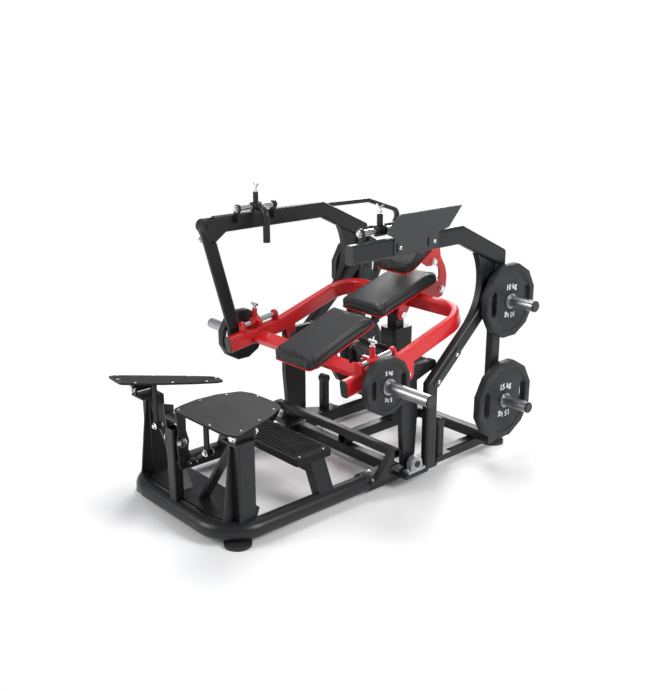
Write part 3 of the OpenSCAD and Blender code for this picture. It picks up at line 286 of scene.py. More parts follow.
def make_finishes():
    """One material for each slot of the record, and those of the added pieces"""
    f = finishes()
    return {
        "frame_black": coat("Frame powder coat", f.frame_black, 0.36, worn=(0.10, 0.10, 0.105),
                            wear=0.35, relief=("Peel", {"Fine": 1100.0}), strength=0.22, dust=0.006,
                            Specular_IOR_Level=0.36),
        "carriage_red": coat("Carriage powder coat", f.carriage_red, 0.30, spread=0.10, clear=0.25,
                             worn=(0.30, 0.006, 0.010), wear=0.25, strength=0.16, dust=0.01),
        "bright_pins": coat("Plated pins", f.chrome, 0.14, spread=0.06, uneven=0.10, dust=0.0,
                            metallic=1.0, strength=0.03),
        "sleeve_steel": coat("Turned sleeves", f.steel, 0.38, spread=0.10, dust=0.0, metallic=1.0,
                             relief=("Turned", {}), height=0.0001, strength=0.12),
        "bearing_silver": coat("Cast bearings", (0.44, 0.45, 0.46), 0.45, metallic=0.85, dust=0.02,
                               relief=("Peel", {"Fine": 420.0, "Slow": 90.0}), strength=0.5),
        "pad_vinyl": coat("Pad vinyl", f.vinyl, 0.46, spread=0.22, uneven=0.14, dust=0.004,
                          relief=("Vinyl grain", {}), height=0.00035, strength=0.42, mottle=14.0,
                          Specular_IOR_Level=0.38),
        "plate_rubber": coat("Plate rubber", f.plate_rubber, 0.52, spread=0.2, dust=0.008,
                             Specular_IOR_Level=0.36, relief=("Peel", {"Fine": 650.0}), strength=0.35),
        "foot_rubber": coat("Foot rubber", (0.016, 0.016, 0.017), 0.6, strength=0.4),
        "cap_plastic": coat("Cap plastic", (0.022, 0.023, 0.024), 0.42, strength=0.3,
                            relief=("Peel", {"Fine": 1500.0})),
        "tread_black": coat("Grip coat", (0.008, 0.0083, 0.009), 0.60, spread=0.35, dust=0.006,
                            Specular_IOR_Level=0.25,
                            relief=("Peel", {"Fine": 480.0, "Slow": 160.0, "Balance": 0.2}),
                            height=0.0012, strength=0.8),
        "shield_grey": coat("Shield coat", f.shield_grey, 0.46, worn=(0.16, 0.16, 0.17), wear=0.25,
                            strength=0.25, dust=0.008, Specular_IOR_Level=0.36),
        "marks": coat("Plate marks", f.marks, 0.5, spread=0.08, dust=0.0, strength=0.1),
        "webbing": coat("Belt webbing", (0.018, 0.018, 0.019), 0.75, strength=0.6,
                        relief=("Peel", {"Fine": 900.0}), height=0.0008),
        "buckle": coat("Buckle grey", (0.17, 0.175, 0.18), 0.42, metallic=0.6, strength=0.2),
        "zinc": coat("Zinc screws", (0.66, 0.67, 0.66), 0.26, spread=0.15, metallic=1.0, dust=0.0,
                     strength=0.15),
    }


# ---------------------------------------------------------------- mesh helpers

def new_piece(name, verts, faces, finish):
    """A new object from vertices and faces"""
    mesh = bpy.data.meshes.new(name)
    mesh.from_pydata([tuple(v) for v in verts], [], [tuple(f) for f in faces])
    return dress(mesh, name, finish)


def paint(mesh, finish):
    """Makes a finish the mesh's only material"""
    mesh.materials.clear()
    mesh.materials.append(FINISH[finish])


def dress(mesh, name, finish):
    """A new object with this mesh and finish"""
    piece = bpy.data.objects.new(name, mesh)
    bpy.context.scene.collection.objects.link(piece)
    paint(mesh, finish)
    return piece


def seat(piece, body):
    """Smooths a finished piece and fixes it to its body"""
    for poly in piece.data.polygons:
        poly.use_smooth = True
    piece.data.set_sharp_from_angle(angle=radians(38))
    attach(piece, body)
    return piece


def mesh_from(bm, name):
    """A new mesh from a bmesh, which it uses up"""
    mesh = bpy.data.meshes.new(name)
    bm.to_mesh(mesh)
    bm.free()
    return mesh


def coordinates(mesh):
    """The vertices' places, one row each"""
    out = np.empty(len(mesh.vertices)*3)
    mesh.vertices.foreach_get("co", out)
    return out.reshape(-1, 3)


def merged_copy(node):
    """A bmesh of a node's surface with its doubles merged"""
    bm = bmesh.new()
    bm.from_mesh(NODES[node].data)
    bmesh.ops.remove_doubles(bm, verts=bm.verts, dist=2e-5)
    return bm


def applied(piece):
    """The piece with its modifiers made part of its mesh"""
    graph = bpy.context.evaluated_depsgraph_get()
    mesh = bpy.data.meshes.new_from_object(piece.evaluated_get(graph), depsgraph=graph)
    piece.modifiers.clear()
    old = piece.data
    piece.data = mesh
    bpy.data.meshes.remove(old)
    return piece


def flat_faces(node):
    """Planar regions of a node: (area, unit normal, offset, triangles) with the largest first"""
    mesh = NODES[node].data
    mesh.calc_loop_triangles()
    regions = {}
    for tri in mesh.loop_triangles:
        points = [mesh.vertices[i].co for i in tri.vertices]
        normal = (points[1] - points[0]).cross(points[2] - points[0])
        if normal.length < 1e-12:
            continue
        area = normal.length/2
        normal.normalize()
        key = tuple(round(c, 2) for c in normal) + (round(normal.dot(points[0]), 4),)
        region = regions.setdefault(key, [0, normal, normal.dot(points[0]), []])
        region[0] += area
        region[3].append(points)
    return sorted(regions.values(), key=lambda r: -r[0])


def top_outline(node, towards=Z_AXIS):
    """Ordered outline and unit normal of the largest flat face that looks along towards"""
    area, normal, offset, tris = next(r for r in flat_faces(node) if r[1].dot(towards) > 0.7)
    count, place = {}, {}
    for points in tris:
        keys = [tuple(round(c, 5) for c in p) for p in points]
        for p, k in zip(points, keys):
            place[k] = p
        for a, b in zip(keys, keys[1:] + keys[:1]):
            count[(a, b)] = count.get((a, b), 0) + 1
    after = {a: b for (a, b) in count if (b, a) not in count}
    loops = []
    while after:
        first, second = next(iter(after.items()))
        loop = [first]
        del after[first]
        while second != first and second in after:
            loop.append(second)
            second = after.pop(second)
        loops.append([place[k] for k in loop])
    return max(loops, key=lambda l: sum((b - a).length for a, b in zip(l, l[1:] + l[:1]))), normal


def plane_axes(normal):
    """Two unit vectors across a normal: along the machine, and across it"""
    along = normal.cross(X_AXIS)
    if along.y < 0:
        along = -along
    along.normalize()
    return along.cross(normal).normalized(), along


def inset_walk(outline, normal, inset, pitch):
    """Points at about an even pitch on a line inset from an outline, and the inset line"""
    n = len(outline)
    line = []
    for i in range(n):
        a, b, c = outline[i - 1], outline[i], outline[(i + 1) % n]
        before, after = (b - a).normalized(), (c - b).normalized()
        inward = normal.cross(before) + normal.cross(after)
        inward /= 1 + before.dot(after)
        line.append(b + inset*inward)
    lengths = [(line[(i + 1) % n] - line[i]).length for i in range(n)]
    total = sum(lengths)
    steps = max(3, round(total/pitch))
    points = []
    for k in range(steps):
        left = total*k/steps
        i = 0
        while left > lengths[i] and i < n - 1:
            left -= lengths[i]
            i += 1
        points.append(line[i].lerp(line[(i + 1) % n], min(left/lengths[i], 1)))
    return points, line


def tube_mesh(path, radius, sides=12, closed=False):
    """Vertices and faces of a round tube along a list of points"""
    verts, faces = [], []
    n = len(path)
    frame_up = None
    for i, p in enumerate(path):
        a = path[i - 1] if i or closed else p
        b = path[(i + 1) % n] if i < n - 1 or closed else p
        run = (b - a).normalized()
        if frame_up is None:
            frame_up = Z_AXIS if abs(run.z) < 0.9 else X_AXIS
        side = run.cross(frame_up).normalized()
        frame_up = side.cross(run).normalized()
        for k in range(sides):
            t = 2*pi*k/sides
            verts.append(p + radius*(cos(t)*side + sin(t)*frame_up))
    for i in range(n if closed else n - 1):
        j = (i + 1) % n
        for k in range(sides):
            m = (k + 1) % sides
            faces.append((i*sides + k, i*sides + m, j*sides + m, j*sides + k))
    if not closed:
        faces.append(tuple(range(sides)))
        faces.append(tuple(reversed(range((n - 1)*sides, n*sides))))
    return verts, faces


def lathe(profile, sides):
    """Vertices and faces of a shape turned round Z from (radius, height) pairs, capped at both ends"""
    verts, faces = [], []
    for radius, height in profile:
        for k in range(sides):
            t = 2*pi*k/sides
            verts.append(Vector((radius*cos(t), radius*sin(t), height)))
    for i in range(len(profile) - 1):
        for k in range(sides):
            m = (k + 1) % sides
            faces.append((i*sides + k, i*sides + m, (i + 1)*sides + m, (i + 1)*sides + k))
    faces.append(tuple(reversed(range(sides))))
    top = (len(profile) - 1)*sides
    faces.append(tuple(range(top, top + sides)))
    return verts, faces


# ---------------------------------------------------------------- scattering with Geometry Nodes

def scatter_tree():
    """Puts a model on every point, its Z along the point's aim, then realizes and paints it"""
    tree = bpy.data.node_groups.new("Fasteners on points", "GeometryNodeTree")
    sockets = tree.interface
    sockets.new_socket("Geometry", in_out="INPUT", socket_type="NodeSocketGeometry")
    sockets.new_socket("Model", in_out="INPUT", socket_type="NodeSocketObject")
    sockets.new_socket("Size", in_out="INPUT", socket_type=FLOAT).default_value = 1.0
    sockets.new_socket("Finish", in_out="INPUT", socket_type="NodeSocketMaterial")
    sockets.new_socket("Geometry", in_out="OUTPUT", socket_type="NodeSocketGeometry")
    start = tree.nodes.new("NodeGroupInput")
    end = tree.nodes.new("NodeGroupOutput")
    aim = add(tree, "GeometryNodeInputNamedAttribute", {"Name": "aim"}, data_type="FLOAT_VECTOR")
    turn = add(tree, "FunctionNodeAlignRotationToVector", {"Vector": aim.outputs["Attribute"]}, axis="Z")
    model = add(tree, "GeometryNodeObjectInfo", {"Object": start.outputs["Model"]})
    put = add(tree, "GeometryNodeInstanceOnPoints", {
        "Points": start.outputs["Geometry"], "Instance": model.outputs["Geometry"],
        "Rotation": turn.outputs["Rotation"], "Scale": start.outputs["Size"]})
    real = add(tree, "GeometryNodeRealizeInstances", {"Geometry": put.outputs["Instances"]})
    paint = add(tree, "GeometryNodeSetMaterial", {"Geometry": real.outputs["Geometry"],
                                                  "Material": start.outputs["Finish"]})
    tree.links.new(paint.outputs["Geometry"], end.inputs["Geometry"])
    return tree


def scatter(name, model, places, body, finish, size=1.0):
    """One piece with a copy of the model, from (verts, faces), at every (point, aim)"""
    tree = bpy.data.node_groups.get("Fasteners on points") or scatter_tree()
    pattern_mesh = bpy.data.meshes.new(name + "_model")
    pattern_mesh.from_pydata([tuple(v) for v in model[0]], [], model[1])
    pattern = bpy.data.objects.new(name + "_model", pattern_mesh)
    mesh = bpy.data.meshes.new(name)
    mesh.from_pydata([tuple(p) for p, _ in places], [], [])
    aims = mesh.attributes.new("aim", "FLOAT_VECTOR", "POINT")
    aims.data.foreach_set("vector", [c for _, a in places for c in a])
    piece = bpy.data.objects.new(name, mesh)
    bpy.context.scene.collection.objects.link(piece)
    nodes = piece.modifiers.new("Fasteners", "NODES")
    nodes.node_group = tree
    key = {s.name: s.identifier for s in tree.interface.items_tree if s.in_out == "INPUT"}
    nodes[key["Model"]] = pattern
    nodes[key["Size"]] = size
    nodes[key["Finish"]] = FINISH[finish]
    applied(piece)
    bpy.data.objects.remove(pattern)
    bpy.data.meshes.remove(pattern_mesh)
    return seat(piece, body)


def dome_screw(radius):
    """Low dome with a hexagon socket"""
    r = radius
    profile = [(r, 0), (r, 0.25*r), (0.9*r, 0.45*r), (0.72*r, 0.6*r), (0.48*r, 0.68*r)]
    sides = 18
    verts, faces = lathe(profile, sides)
    faces.pop()
    base = len(verts)
    rim = base - sides
    for depth in (0.68*r, 0.3*r):
        for k in range(sides):
            t = 2*pi*k/sides
            reach = 0.40*r/max(abs(cos((t % (pi/3)) - pi/6)), 0.8)
            verts.append(Vector((reach*cos(t), reach*sin(t), depth)))
    for k in range(sides):
        m = (k + 1) % sides
        faces.append((rim + k, rim + m, base + m, base + k))
        faces.append((base + k, base + m, base + sides + m, base + sides + k))
    faces.append(tuple(range(base + sides, base + 2*sides)))
    return verts, faces


def hex_bolt(radius):
    """Washer and chamfered hexagon head"""
    r = radius
    verts, faces = lathe([(1.75*r, 0), (1.75*r, 0.22*r), (1.7*r, 0.28*r), (0.9*r, 0.28*r)], 24)
    count = len(verts)
    for share, height in ((1.0, 0.28), (1.0, 1.1), (0.9, 1.25)):
        verts += [Vector((1.3*r*share*cos(pi*k/3), 1.3*r*share*sin(pi*k/3), height*r))
                  for k in range(6)]
    for i in range(2):
        for k in range(6):
            m = (k + 1) % 6
            faces.append((count + 6*i + k, count + 6*i + m, count + 6*i + 6 + m, count + 6*i + 6 + k))
    faces.append(tuple(count + 12 + k for k in range(6)))
    faces.append(tuple(count + k for k in reversed(range(6))))
    return verts, faces


# ---------------------------------------------------------------- cushions

PADS = {  # pad node: its cushion's name, and its sewn channels as shares of the length
    "seat_pad": ("seat_cushion", ()),
    "back_pad": ("back_cushion", ()),
    "head_pad": ("head_cushion", (0.62, 0.74, 0.86)),
}


def pad_frame_of(node):
    """Rotation from a pad's own axes (across, along, up) to the machine's, and its box in them"""
    _, normal = top_outline(node)
    across, along = plane_axes(normal)
    turn = Matrix((across, along, normal)).transposed()
    inside = [turn.transposed() @ v.co for v in NODES[node].data.vertices]
    low = Vector(min(p[i] for p in inside) for i in range(3))
    high = Vector(max(p[i] for p in inside) for i in range(3))
    return turn, low, high


def shrunk_blank(node, name, turn, low, high, board, room):
    """The pad's solid in its own axes, less its board and the room that its cover swells into"""
    bm = merged_copy(node)
    bm.transform(turn.transposed().to_4x4())
    centre = (low + high)/2
    full = high - low
    for v in bm.verts:
        v.co.x = centre.x + (v.co.x - centre.x)*(full.x - 2*room)/full.x
        v.co.y = centre.y + (v.co.y - centre.y)*(full.y - 2*room)/full.y
        v.co.z = low.z + board + (v.co.z - low.z)/full.z*(full.z - board - room)
    return dress(mesh_from(bm, name), name, "pad_vinyl")


def inflate(piece, bottom, most):
    """Cloth simulation of an inflated cover whose underside is held, with its bulge capped"""
    rest = coordinates(piece.data)
    held = piece.vertex_groups.new(name="held")
    held.add([int(i) for i in np.nonzero(rest[:, 2] < bottom + 0.004)[0]], 1.0, "REPLACE")
    cloth = piece.modifiers.new("Cloth", "CLOTH")
    settings = cloth.settings
    settings.quality = 6
    settings.mass = 0.3
    settings.tension_stiffness = 22
    settings.compression_stiffness = 22
    settings.bending_stiffness = 6
    settings.use_pressure = True
    settings.uniform_pressure_force = 4
    settings.vertex_group_mass = "held"
    settings.effector_weights.gravity = 0
    last = 20
    cloth.point_cache.frame_start = 1
    cloth.point_cache.frame_end = last
    for frame_number in range(1, last + 1):
        bpy.context.scene.frame_set(frame_number)
    graph = bpy.context.evaluated_depsgraph_get()
    shift = coordinates(piece.evaluated_get(graph).data) - rest
    piece.modifiers.clear()
    piece.vertex_groups.clear()
    bpy.context.scene.frame_set(1)
    length = np.linalg.norm(shift, axis=1, keepdims=True)
    shift *= np.minimum(1, most/np.maximum(length, 1e-9))
    return rest + shift


def draw_sides_in(points, low, high):
    """The points with the sides drawn in between the corners, more towards the top"""
    centre = (low + high)/2
    half = (high - low)/2
    out = points.copy()
    u = (points[:, 0] - centre.x)/half.x
    v = (points[:, 1] - centre.y)/half.y
    level = np.clip((points[:, 2] - low.z)/(high.z - low.z), 0, 1)
    draw = 0.0016*level
    out[:, 0] -= np.sign(u)*draw*(1 - v*v)*np.clip(np.abs(u)*3 - 2, 0, 1)
    out[:, 1] -= np.sign(v)*draw*(1 - u*u)*np.clip(np.abs(v)*3 - 2, 0, 1)
    return out


def make_cushion(node, name, channels):
    """A padded cover, inflated by simulation, on the space of its CAD solid"""
    s = sizes()
    turn, low, high = pad_frame_of(node)
    room = s.swell*0.62
    piece = shrunk_blank(node, name, turn, low, high, s.board, room)
    remesh = piece.modifiers.new("Remesh", "REMESH")
    remesh.mode = "VOXEL"
    remesh.voxel_size = s.voxel
    applied(piece)
    smooth = piece.modifiers.new("Smooth", "SMOOTH")
    smooth.factor = 0.5
    smooth.iterations = 3
    applied(piece)
    bottom = low.z + s.board
    points = inflate(piece, bottom, s.swell)
    points = draw_sides_in(points, low, high)
    top = points[:, 2] > bottom + 0.010
    length = high.y - low.y
    channel_w, border_drop, border_w, border_depth = 4.5*MM, 11.5*MM, 3*MM, 1.1*MM
    for share in channels:
        away = (points[:, 1] - (low.y + share*length))/channel_w
        side = 1 - 0.25*np.abs(points[:, 0])/((high.x - low.x)/2)
        points[:, 2] -= top*s.seam*np.exp(-away*away)*side
    # a seam round the border, where the top panel meets the side band
    edge = (points[:, 2] - (high.z - border_drop))/border_w
    centre = (low + high)/2
    out = np.stack([points[:, 0] - centre.x, points[:, 1] - centre.y], axis=1)
    out /= np.maximum(np.linalg.norm(out, axis=1, keepdims=True), 1e-9)
    groove = border_depth*np.exp(-edge*edge)
    points[:, 0] -= out[:, 0]*groove
    points[:, 1] -= out[:, 1]*groove
    points[:, 2] = np.clip(points[:, 2], bottom, high.z + 0.003)
    piece.data.vertices.foreach_set("co", points.ravel())
    piece.data.update()
    finer = piece.modifiers.new("Finer", "SUBSURF")
    finer.levels = finer.render_levels = 1
    applied(piece)
    piece.data.transform(turn.to_4x4())
    paint(piece.data, "pad_vinyl")
    seat(piece, "carriage")
    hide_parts(node)


def make_board(node, name):
    """Painted board under a pad, its edge a little inside the cover"""
    turn, low, high = pad_frame_of(node)
    bm = merged_copy(node)
    bm.transform(turn.transposed().to_4x4())
    centre = (low + high)/2
    inset = 1.5*MM
    for v in bm.verts:
        v.co.x = centre.x + (v.co.x - centre.x)*(1 - 2*inset/(high.x - low.x))
        v.co.y = centre.y + (v.co.y - centre.y)*(1 - 2*inset/(high.y - low.y))
        v.co.z = low.z + (sizes().board if v.co.z > centre.z else 0.0)
    bmesh.ops.dissolve_limit(bm, angle_limit=radians(1), verts=bm.verts, edges=bm.edges)
    mesh = mesh_from(bm, name)
    mesh.transform(turn.to_4x4())
    board = dress(mesh, name, "carriage_red")
    rounding = board.modifiers.new("Bevel", "BEVEL")
    rounding.width = 1.2*MM
    rounding.segments = 2
    applied(board)
    paint(board.data, "carriage_red")
    return seat(board, "carriage")


class PRESS_OT_cushions(bpy.types.Operator):
    """Make the seat, back and head cushions and the boards under them"""
    bl_idname = "press.cushions"
    bl_label = "Cushions"

    def execute(self, context):
        for node, (name, channels) in PADS.items():
            make_cushion(node, name, channels)
            make_board(node, name.replace("cushion", "board"))
        return {"FINISHED"}


# ---------------------------------------------------------------- frame finishes

class PRESS_OT_finishes(bpy.types.Operator):
    """Make the materials and give every frame node the one of its slot"""
    bl_idname = "press.finishes"
    bl_label = "Finishes"

    def execute(self, context):
        FINISH.update(make_finishes())
        for part in frame["record"]["subparts"]:
            node = NODES[part["node"]]
            if not node.material_slots:
                node.data.materials.append(None)
            for slot in node.material_slots:
                slot.material = FINISH[part["material_slot"]]
        return {"FINISHED"}


# ---------------------------------------------------------------- weight plates

def soften(node, name, body, finish, width):
    """A copy of a node with its edges rounded, standing for it"""
    bm = merged_copy(node)
    bmesh.ops.dissolve_limit(bm, angle_limit=radians(2), verts=bm.verts, edges=bm.edges)
    piece = dress(mesh_from(bm, name), name, finish)
    rounding = piece.modifiers.new("Bevel", "BEVEL")
    rounding.width = width
    rounding.segments = 3
    rounding.limit_method = "ANGLE"
    rounding.angle_limit = radians(35)
    rounding.harden_normals = True
    applied(piece)
    paint(piece.data, finish)
    seat(piece, body)
    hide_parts(node)


def bushing(centre, side, reach):
    """Steel ring let into a plate's hub, proud of its face"""
    profile = [(25.75*MM, 0.0), (33.5*MM, 0.0), (33.5*MM, 0.9*MM), (32.7*MM, 1.6*MM),
               (27.2*MM, 1.6*MM), (25.75*MM, 0.8*MM)]
    verts, faces, sides, rings = [], [], 48, len(profile)
    for k in range(sides):
        t = 2*pi*k/sides
        for radius, height in profile:
            verts.append(centre + Vector((side*(reach + height), radius*cos(t), radius*sin(t))))
    for k in range(sides):
        m = (k + 1) % sides
        for i in range(rings):
            j = (i + 1) % rings
            quad = (k*rings + i, k*rings + j, m*rings + j, m*rings + i)
            faces.append(quad if side > 0 else quad[::-1])
    return verts, faces


def number_mesh(words, height, centre, side, flip):
    """Flat raised figures on a plate's face, upright or turned over"""
    curve = bpy.data.curves.new("figures", "FONT")
    curve.body = words
    curve.align_x = "CENTER"
    curve.align_y = "CENTER"
    curve.size = height
    curve.offset = height*0.012
    curve.extrude = 0.25*MM
    curve.resolution_u = 4
    text = bpy.data.objects.new("figures", curve)
    bpy.context.scene.collection.objects.link(text)
    bpy.context.view_layer.update()
    graph = bpy.context.evaluated_depsgraph_get()
    mesh = bpy.data.meshes.new_from_object(text.evaluated_get(graph))
    bpy.data.objects.remove(text)
    bpy.data.curves.remove(curve)
    right = Vector((0, side, 0))*(-1 if flip else 1)
    up = Vector((0, 0, -1 if flip else 1))
    out = Vector((side, 0, 0))
    matrix = Matrix((right, up, out)).transposed().to_4x4()
    matrix.translation = centre
    mesh.transform(matrix)
    return mesh


def join_meshes(meshes, name, finish):
    """One object from several meshes, which it uses up"""
    bm = bmesh.new()
    for mesh in meshes:
        bm.from_mesh(mesh)
        bpy.data.meshes.remove(mesh)
    return dress(mesh_from(bm, name), name, finish)


class PRESS_OT_plates(bpy.types.Operator):
    """Round the weight plates' edges, and add their steel bushings and their numbers"""
    bl_idname = "press.plates"
    bl_label = "Weight plates"

    def execute(self, context):
        recess = 3*MM
        hub = 42*MM
        for node, body in (("storage_plates", "base"), ("small_plates", "carriage")):
            discs = node.replace("_plates", "_discs")
            soften(node, discs, body, "plate_rubber", sizes().plate_bevel)
            rings, ring_faces, figures = [], [], []
            for low, high in islands(node):
                side = 1 if low.x > 0 else -1
                centre = Vector((0, (low.y + high.y)/2, (low.z + high.z)/2))
                face = high.x if side > 0 else -low.x
                radius = (high.z - low.z)/2
                verts, faces = bushing(centre, side, face)
                ring_faces += [tuple(i + len(rings) for i in f) for f in faces]
                rings += verts
                words = "15" if radius > 0.175 else "10" if radius > 0.15 else "5"
                height = 0.21*radius
                for flip in (False, True):
                    rise = (hub + 0.62*height)*(-1 if flip else 1)
                    spot = centre + Vector((side*(face - 2*MM - recess + 0.2*MM), 0, rise))
                    figures.append(number_mesh(words + " kg", height, spot, side, flip))
            kind = node.split("_")[0]
            seat(new_piece(kind + "_bushings", rings, ring_faces, "sleeve_steel"), body)
            seat(join_meshes(figures, kind + "_figures", "marks"), body)
        return {"FINISHED"}


# ---------------------------------------------------------------- foot plates

def inside(point, line, normal):
    """Whether a point of the plane lies inside a convex-ish outline"""
    across, along = plane_axes(normal)
    x, y = point.dot(across), point.dot(along)
    hit = False
    n = len(line)
    for i in range(n):
        x0, y0 = line[i].dot(across), line[i].dot(along)
        x1, y1 = line[(i + 1) % n].dot(across), line[(i + 1) % n].dot(along)
        if (y0 > y) != (y1 > y) and x < (x1 - x0)*(y - y0)/(y1 - y0) + x0:
            hit = not hit
    return hit


def stud(radius):
    """Low six-sided stud with a flat top"""
    verts, faces = lathe([(radius, 0), (0.55*radius, 0.45*radius)], 6)
    del faces[-2]
    return verts, faces


class PRESS_OT_foot_plates(bpy.types.Operator):
    """Cover each foot plate with grip studs and screw its border down"""
    bl_idname = "press.foot_plates"
    bl_label = "Foot plates"

    def execute(self, context):
        s = sizes()
        for side in ("right", "left"):
            node = "foot_plate_" + side
            outline, normal = top_outline(node)
            screws, _ = inset_walk(outline, normal, 15*MM, 150*MM)
            places = [(p, normal) for p in screws]
            scatter("foot_screws_" + side, dome_screw(s.screw), places, node, "zinc")
            _, border = inset_walk(outline, normal, 6*MM, 150*MM)
            across, along = plane_axes(normal)
            centre = sum(outline, Vector())/len(outline)
            reach = int(0.26/s.stud_pitch)
            spots = []
            for i in range(-reach, reach + 1):
                for j in range(-reach, reach + 1):
                    p = centre + s.stud_pitch*((i + 0.5*(j % 2))*across + 0.866*j*along)
                    near = min((p - q).length for q in screws)
                    if near > 2.2*s.screw and inside(p, border, normal):
                        spots.append((p - 0.05*MM*normal, normal))
            scatter("grip_studs_" + side, stud(s.stud), spots, node, "tread_black")
        low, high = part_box("step_plank")
        corners = [Vector((x, y, high.z)) for x in (low.x + 0.02, high.x - 0.02)
                   for y in (low.y + 0.03, high.y - 0.03)]
        scatter("step_screws", dome_screw(1.2*s.screw), [(p, Z_AXIS) for p in corners], "base", "zinc")
        return {"FINISHED"}


# ---------------------------------------------------------------- fasteners

def both(points):
    """The same places and aims on the two sides of the machine"""
    return points + [(Vector((-p.x, p.y, p.z)), Vector((-a.x, a.y, a.z))) for p, a in points]


def button_head(radius):
    """Low domed head with a round socket"""
    r = radius
    return lathe([(r, 0), (r, 0.13*r), (0.93*r, 0.38*r), (0.72*r, 0.60*r), (0.45*r, 0.68*r),
                  (0.42*r, 0.68*r), (0.40*r, 0.30*r)], 18)


def islands(node):
    """Boxes of the separate solids of a node, as (low, high) pairs"""
    bm = merged_copy(node)
    boxes, seen = [], set()
    for start in bm.verts:
        if start in seen:
            continue
        stack, group = [start], []
        seen.add(start)
        while stack:
            v = stack.pop()
            group.append(v.co)
            for edge in v.link_edges:
                other = edge.other_vert(v)
                if other not in seen:
                    seen.add(other)
                    stack.append(other)
        boxes.append((Vector(min(p[i] for p in group) for i in range(3)),
                      Vector(max(p[i] for p in group) for i in range(3))))
    bm.free()
    return boxes


class PRESS_OT_fasteners(bpy.types.Operator):
    """Bolt the splice plates, shield, strips, rods and foot stand"""
    bl_idname = "press.fasteners"
    bl_label = "Fasteners"

    def execute(self, context):
        rail_x, beam_z, strip_slope, strip_reach = 0.347, 1.080, radians(41.5), 74*MM
        low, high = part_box("splice_plates")
        top = [(Vector((rail_x + dx, low.y + dy, high.z)), Z_AXIS)
               for dx in (-0.034, 0.036) for dy in (0.022, 0.066)]
        top += [(Vector((rail_x + 0.002, y, high.z)), Z_AXIS) for y in (0.262, 0.372)]
        scatter("splice_bolts", hex_bolt(5.5*MM), both(top), "base", "zinc")
        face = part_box("upper_beams")[1].x + 4*MM  # outer face of the shield and the strips
        bolts = [(Vector((face, y, beam_z)), X_AXIS) for y in (-0.027, 0.169)]
        scatter("shield_bolts", button_head(9.6*MM), bolts, "base", "zinc")
        low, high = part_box("cover_strips")
        middle = Vector((face, (low.y + high.y)/2, (low.z + high.z)/2))
        along = Vector((0, cos(strip_slope), sin(strip_slope)))
        strips = both([(middle + reach*along, X_AXIS) for reach in (-strip_reach, strip_reach)])
        scatter("strip_bolts", button_head(10.7*MM), strips, "base", "zinc")
        rod_x, rod_z, rod_front = 0.393, 1.144, -0.1
        rods = []
        for low, high in islands("beam_ears"):
            front = low.y < rod_front
            place = Vector((rod_x if low.x > 0 else -rod_x, low.y if front else high.y, rod_z))
            rods.append((place, -Y_AXIS if front else Y_AXIS))
        scatter("rod_bolts", hex_bolt(8.5*MM), rods, "base", "bright_pins")
        mast_pin, hinge, share = Vector((0.066, 0, 0.268)), Vector((0.352, 0, 0.462)), 0.4
        eye = mast_pin.lerp(hinge, share)
        for side, x in (("right", eye.x), ("left", -eye.x)):
            nuts = [(Vector((x, -0.782, eye.z)), -Y_AXIS), (Vector((x, -0.757, eye.z)), Y_AXIS)]
            scatter("tie_nuts_" + side, hex_bolt(8.1*MM), nuts, "foot_plate_" + side, "bright_pins")
        return {"FINISHED"}


# ---------------------------------------------------------------- belt

def ribbon(path, across, width, thickness):
    """Flat webbing along a path, its width along across"""
    across = Vector(across).normalized()
    points = [Vector(p) for p in path]
    verts, faces = [], []
    for i, p in enumerate(points):
        run = (points[min(i + 1, len(points) - 1)] - points[max(i - 1, 0)]).normalized()
        out = run.cross(across).normalized()
        for u, w in ((-1, -1), (1, -1), (1, 1), (-1, 1)):
            verts.append(p + across*u*width/2 + out*w*thickness/2)
    for i in range(len(points) - 1):
        for k in range(4):
            m = (k + 1) % 4
            faces.append((4*i + k, 4*i + m, 4*i + 4 + m, 4*i + 4 + k))
    last = 4*(len(points) - 1)
    faces += [(3, 2, 1, 0), (last, last + 1, last + 2, last + 3)]
    return verts, faces


def smooth_path(corners, steps=8):
    """Catmull-Rom curve through the corners"""
    p = [Vector(c) for c in corners]
    p = [2*p[0] - p[1]] + p + [2*p[-1] - p[-2]]
    out = []
    for i in range(1, len(p) - 2):
        for k in range(steps):
            t = k/steps
            a, b, c, d = p[i - 1], p[i], p[i + 1], p[i + 2]
            out.append(0.5*(2*b + (c - a)*t + (2*a - 5*b + 4*c - d)*t*t + (3*b - a - 3*c + d)*t**3))
    return out + [p[-2]]


def joined(parts):
    """Vertices and faces of several shapes as one"""
    verts, faces = [], []
    for more, lists in parts:
        faces += [tuple(i + len(verts) for i in f) for f in lists]
        verts += more
    return verts, faces


def outward(piece):
    """The piece with its faces turned outwards"""
    bm = bmesh.new()
    bm.from_mesh(piece.data)
    bmesh.ops.recalc_face_normals(bm, faces=bm.faces)
    bm.to_mesh(piece.data)
    bm.free()
    return piece


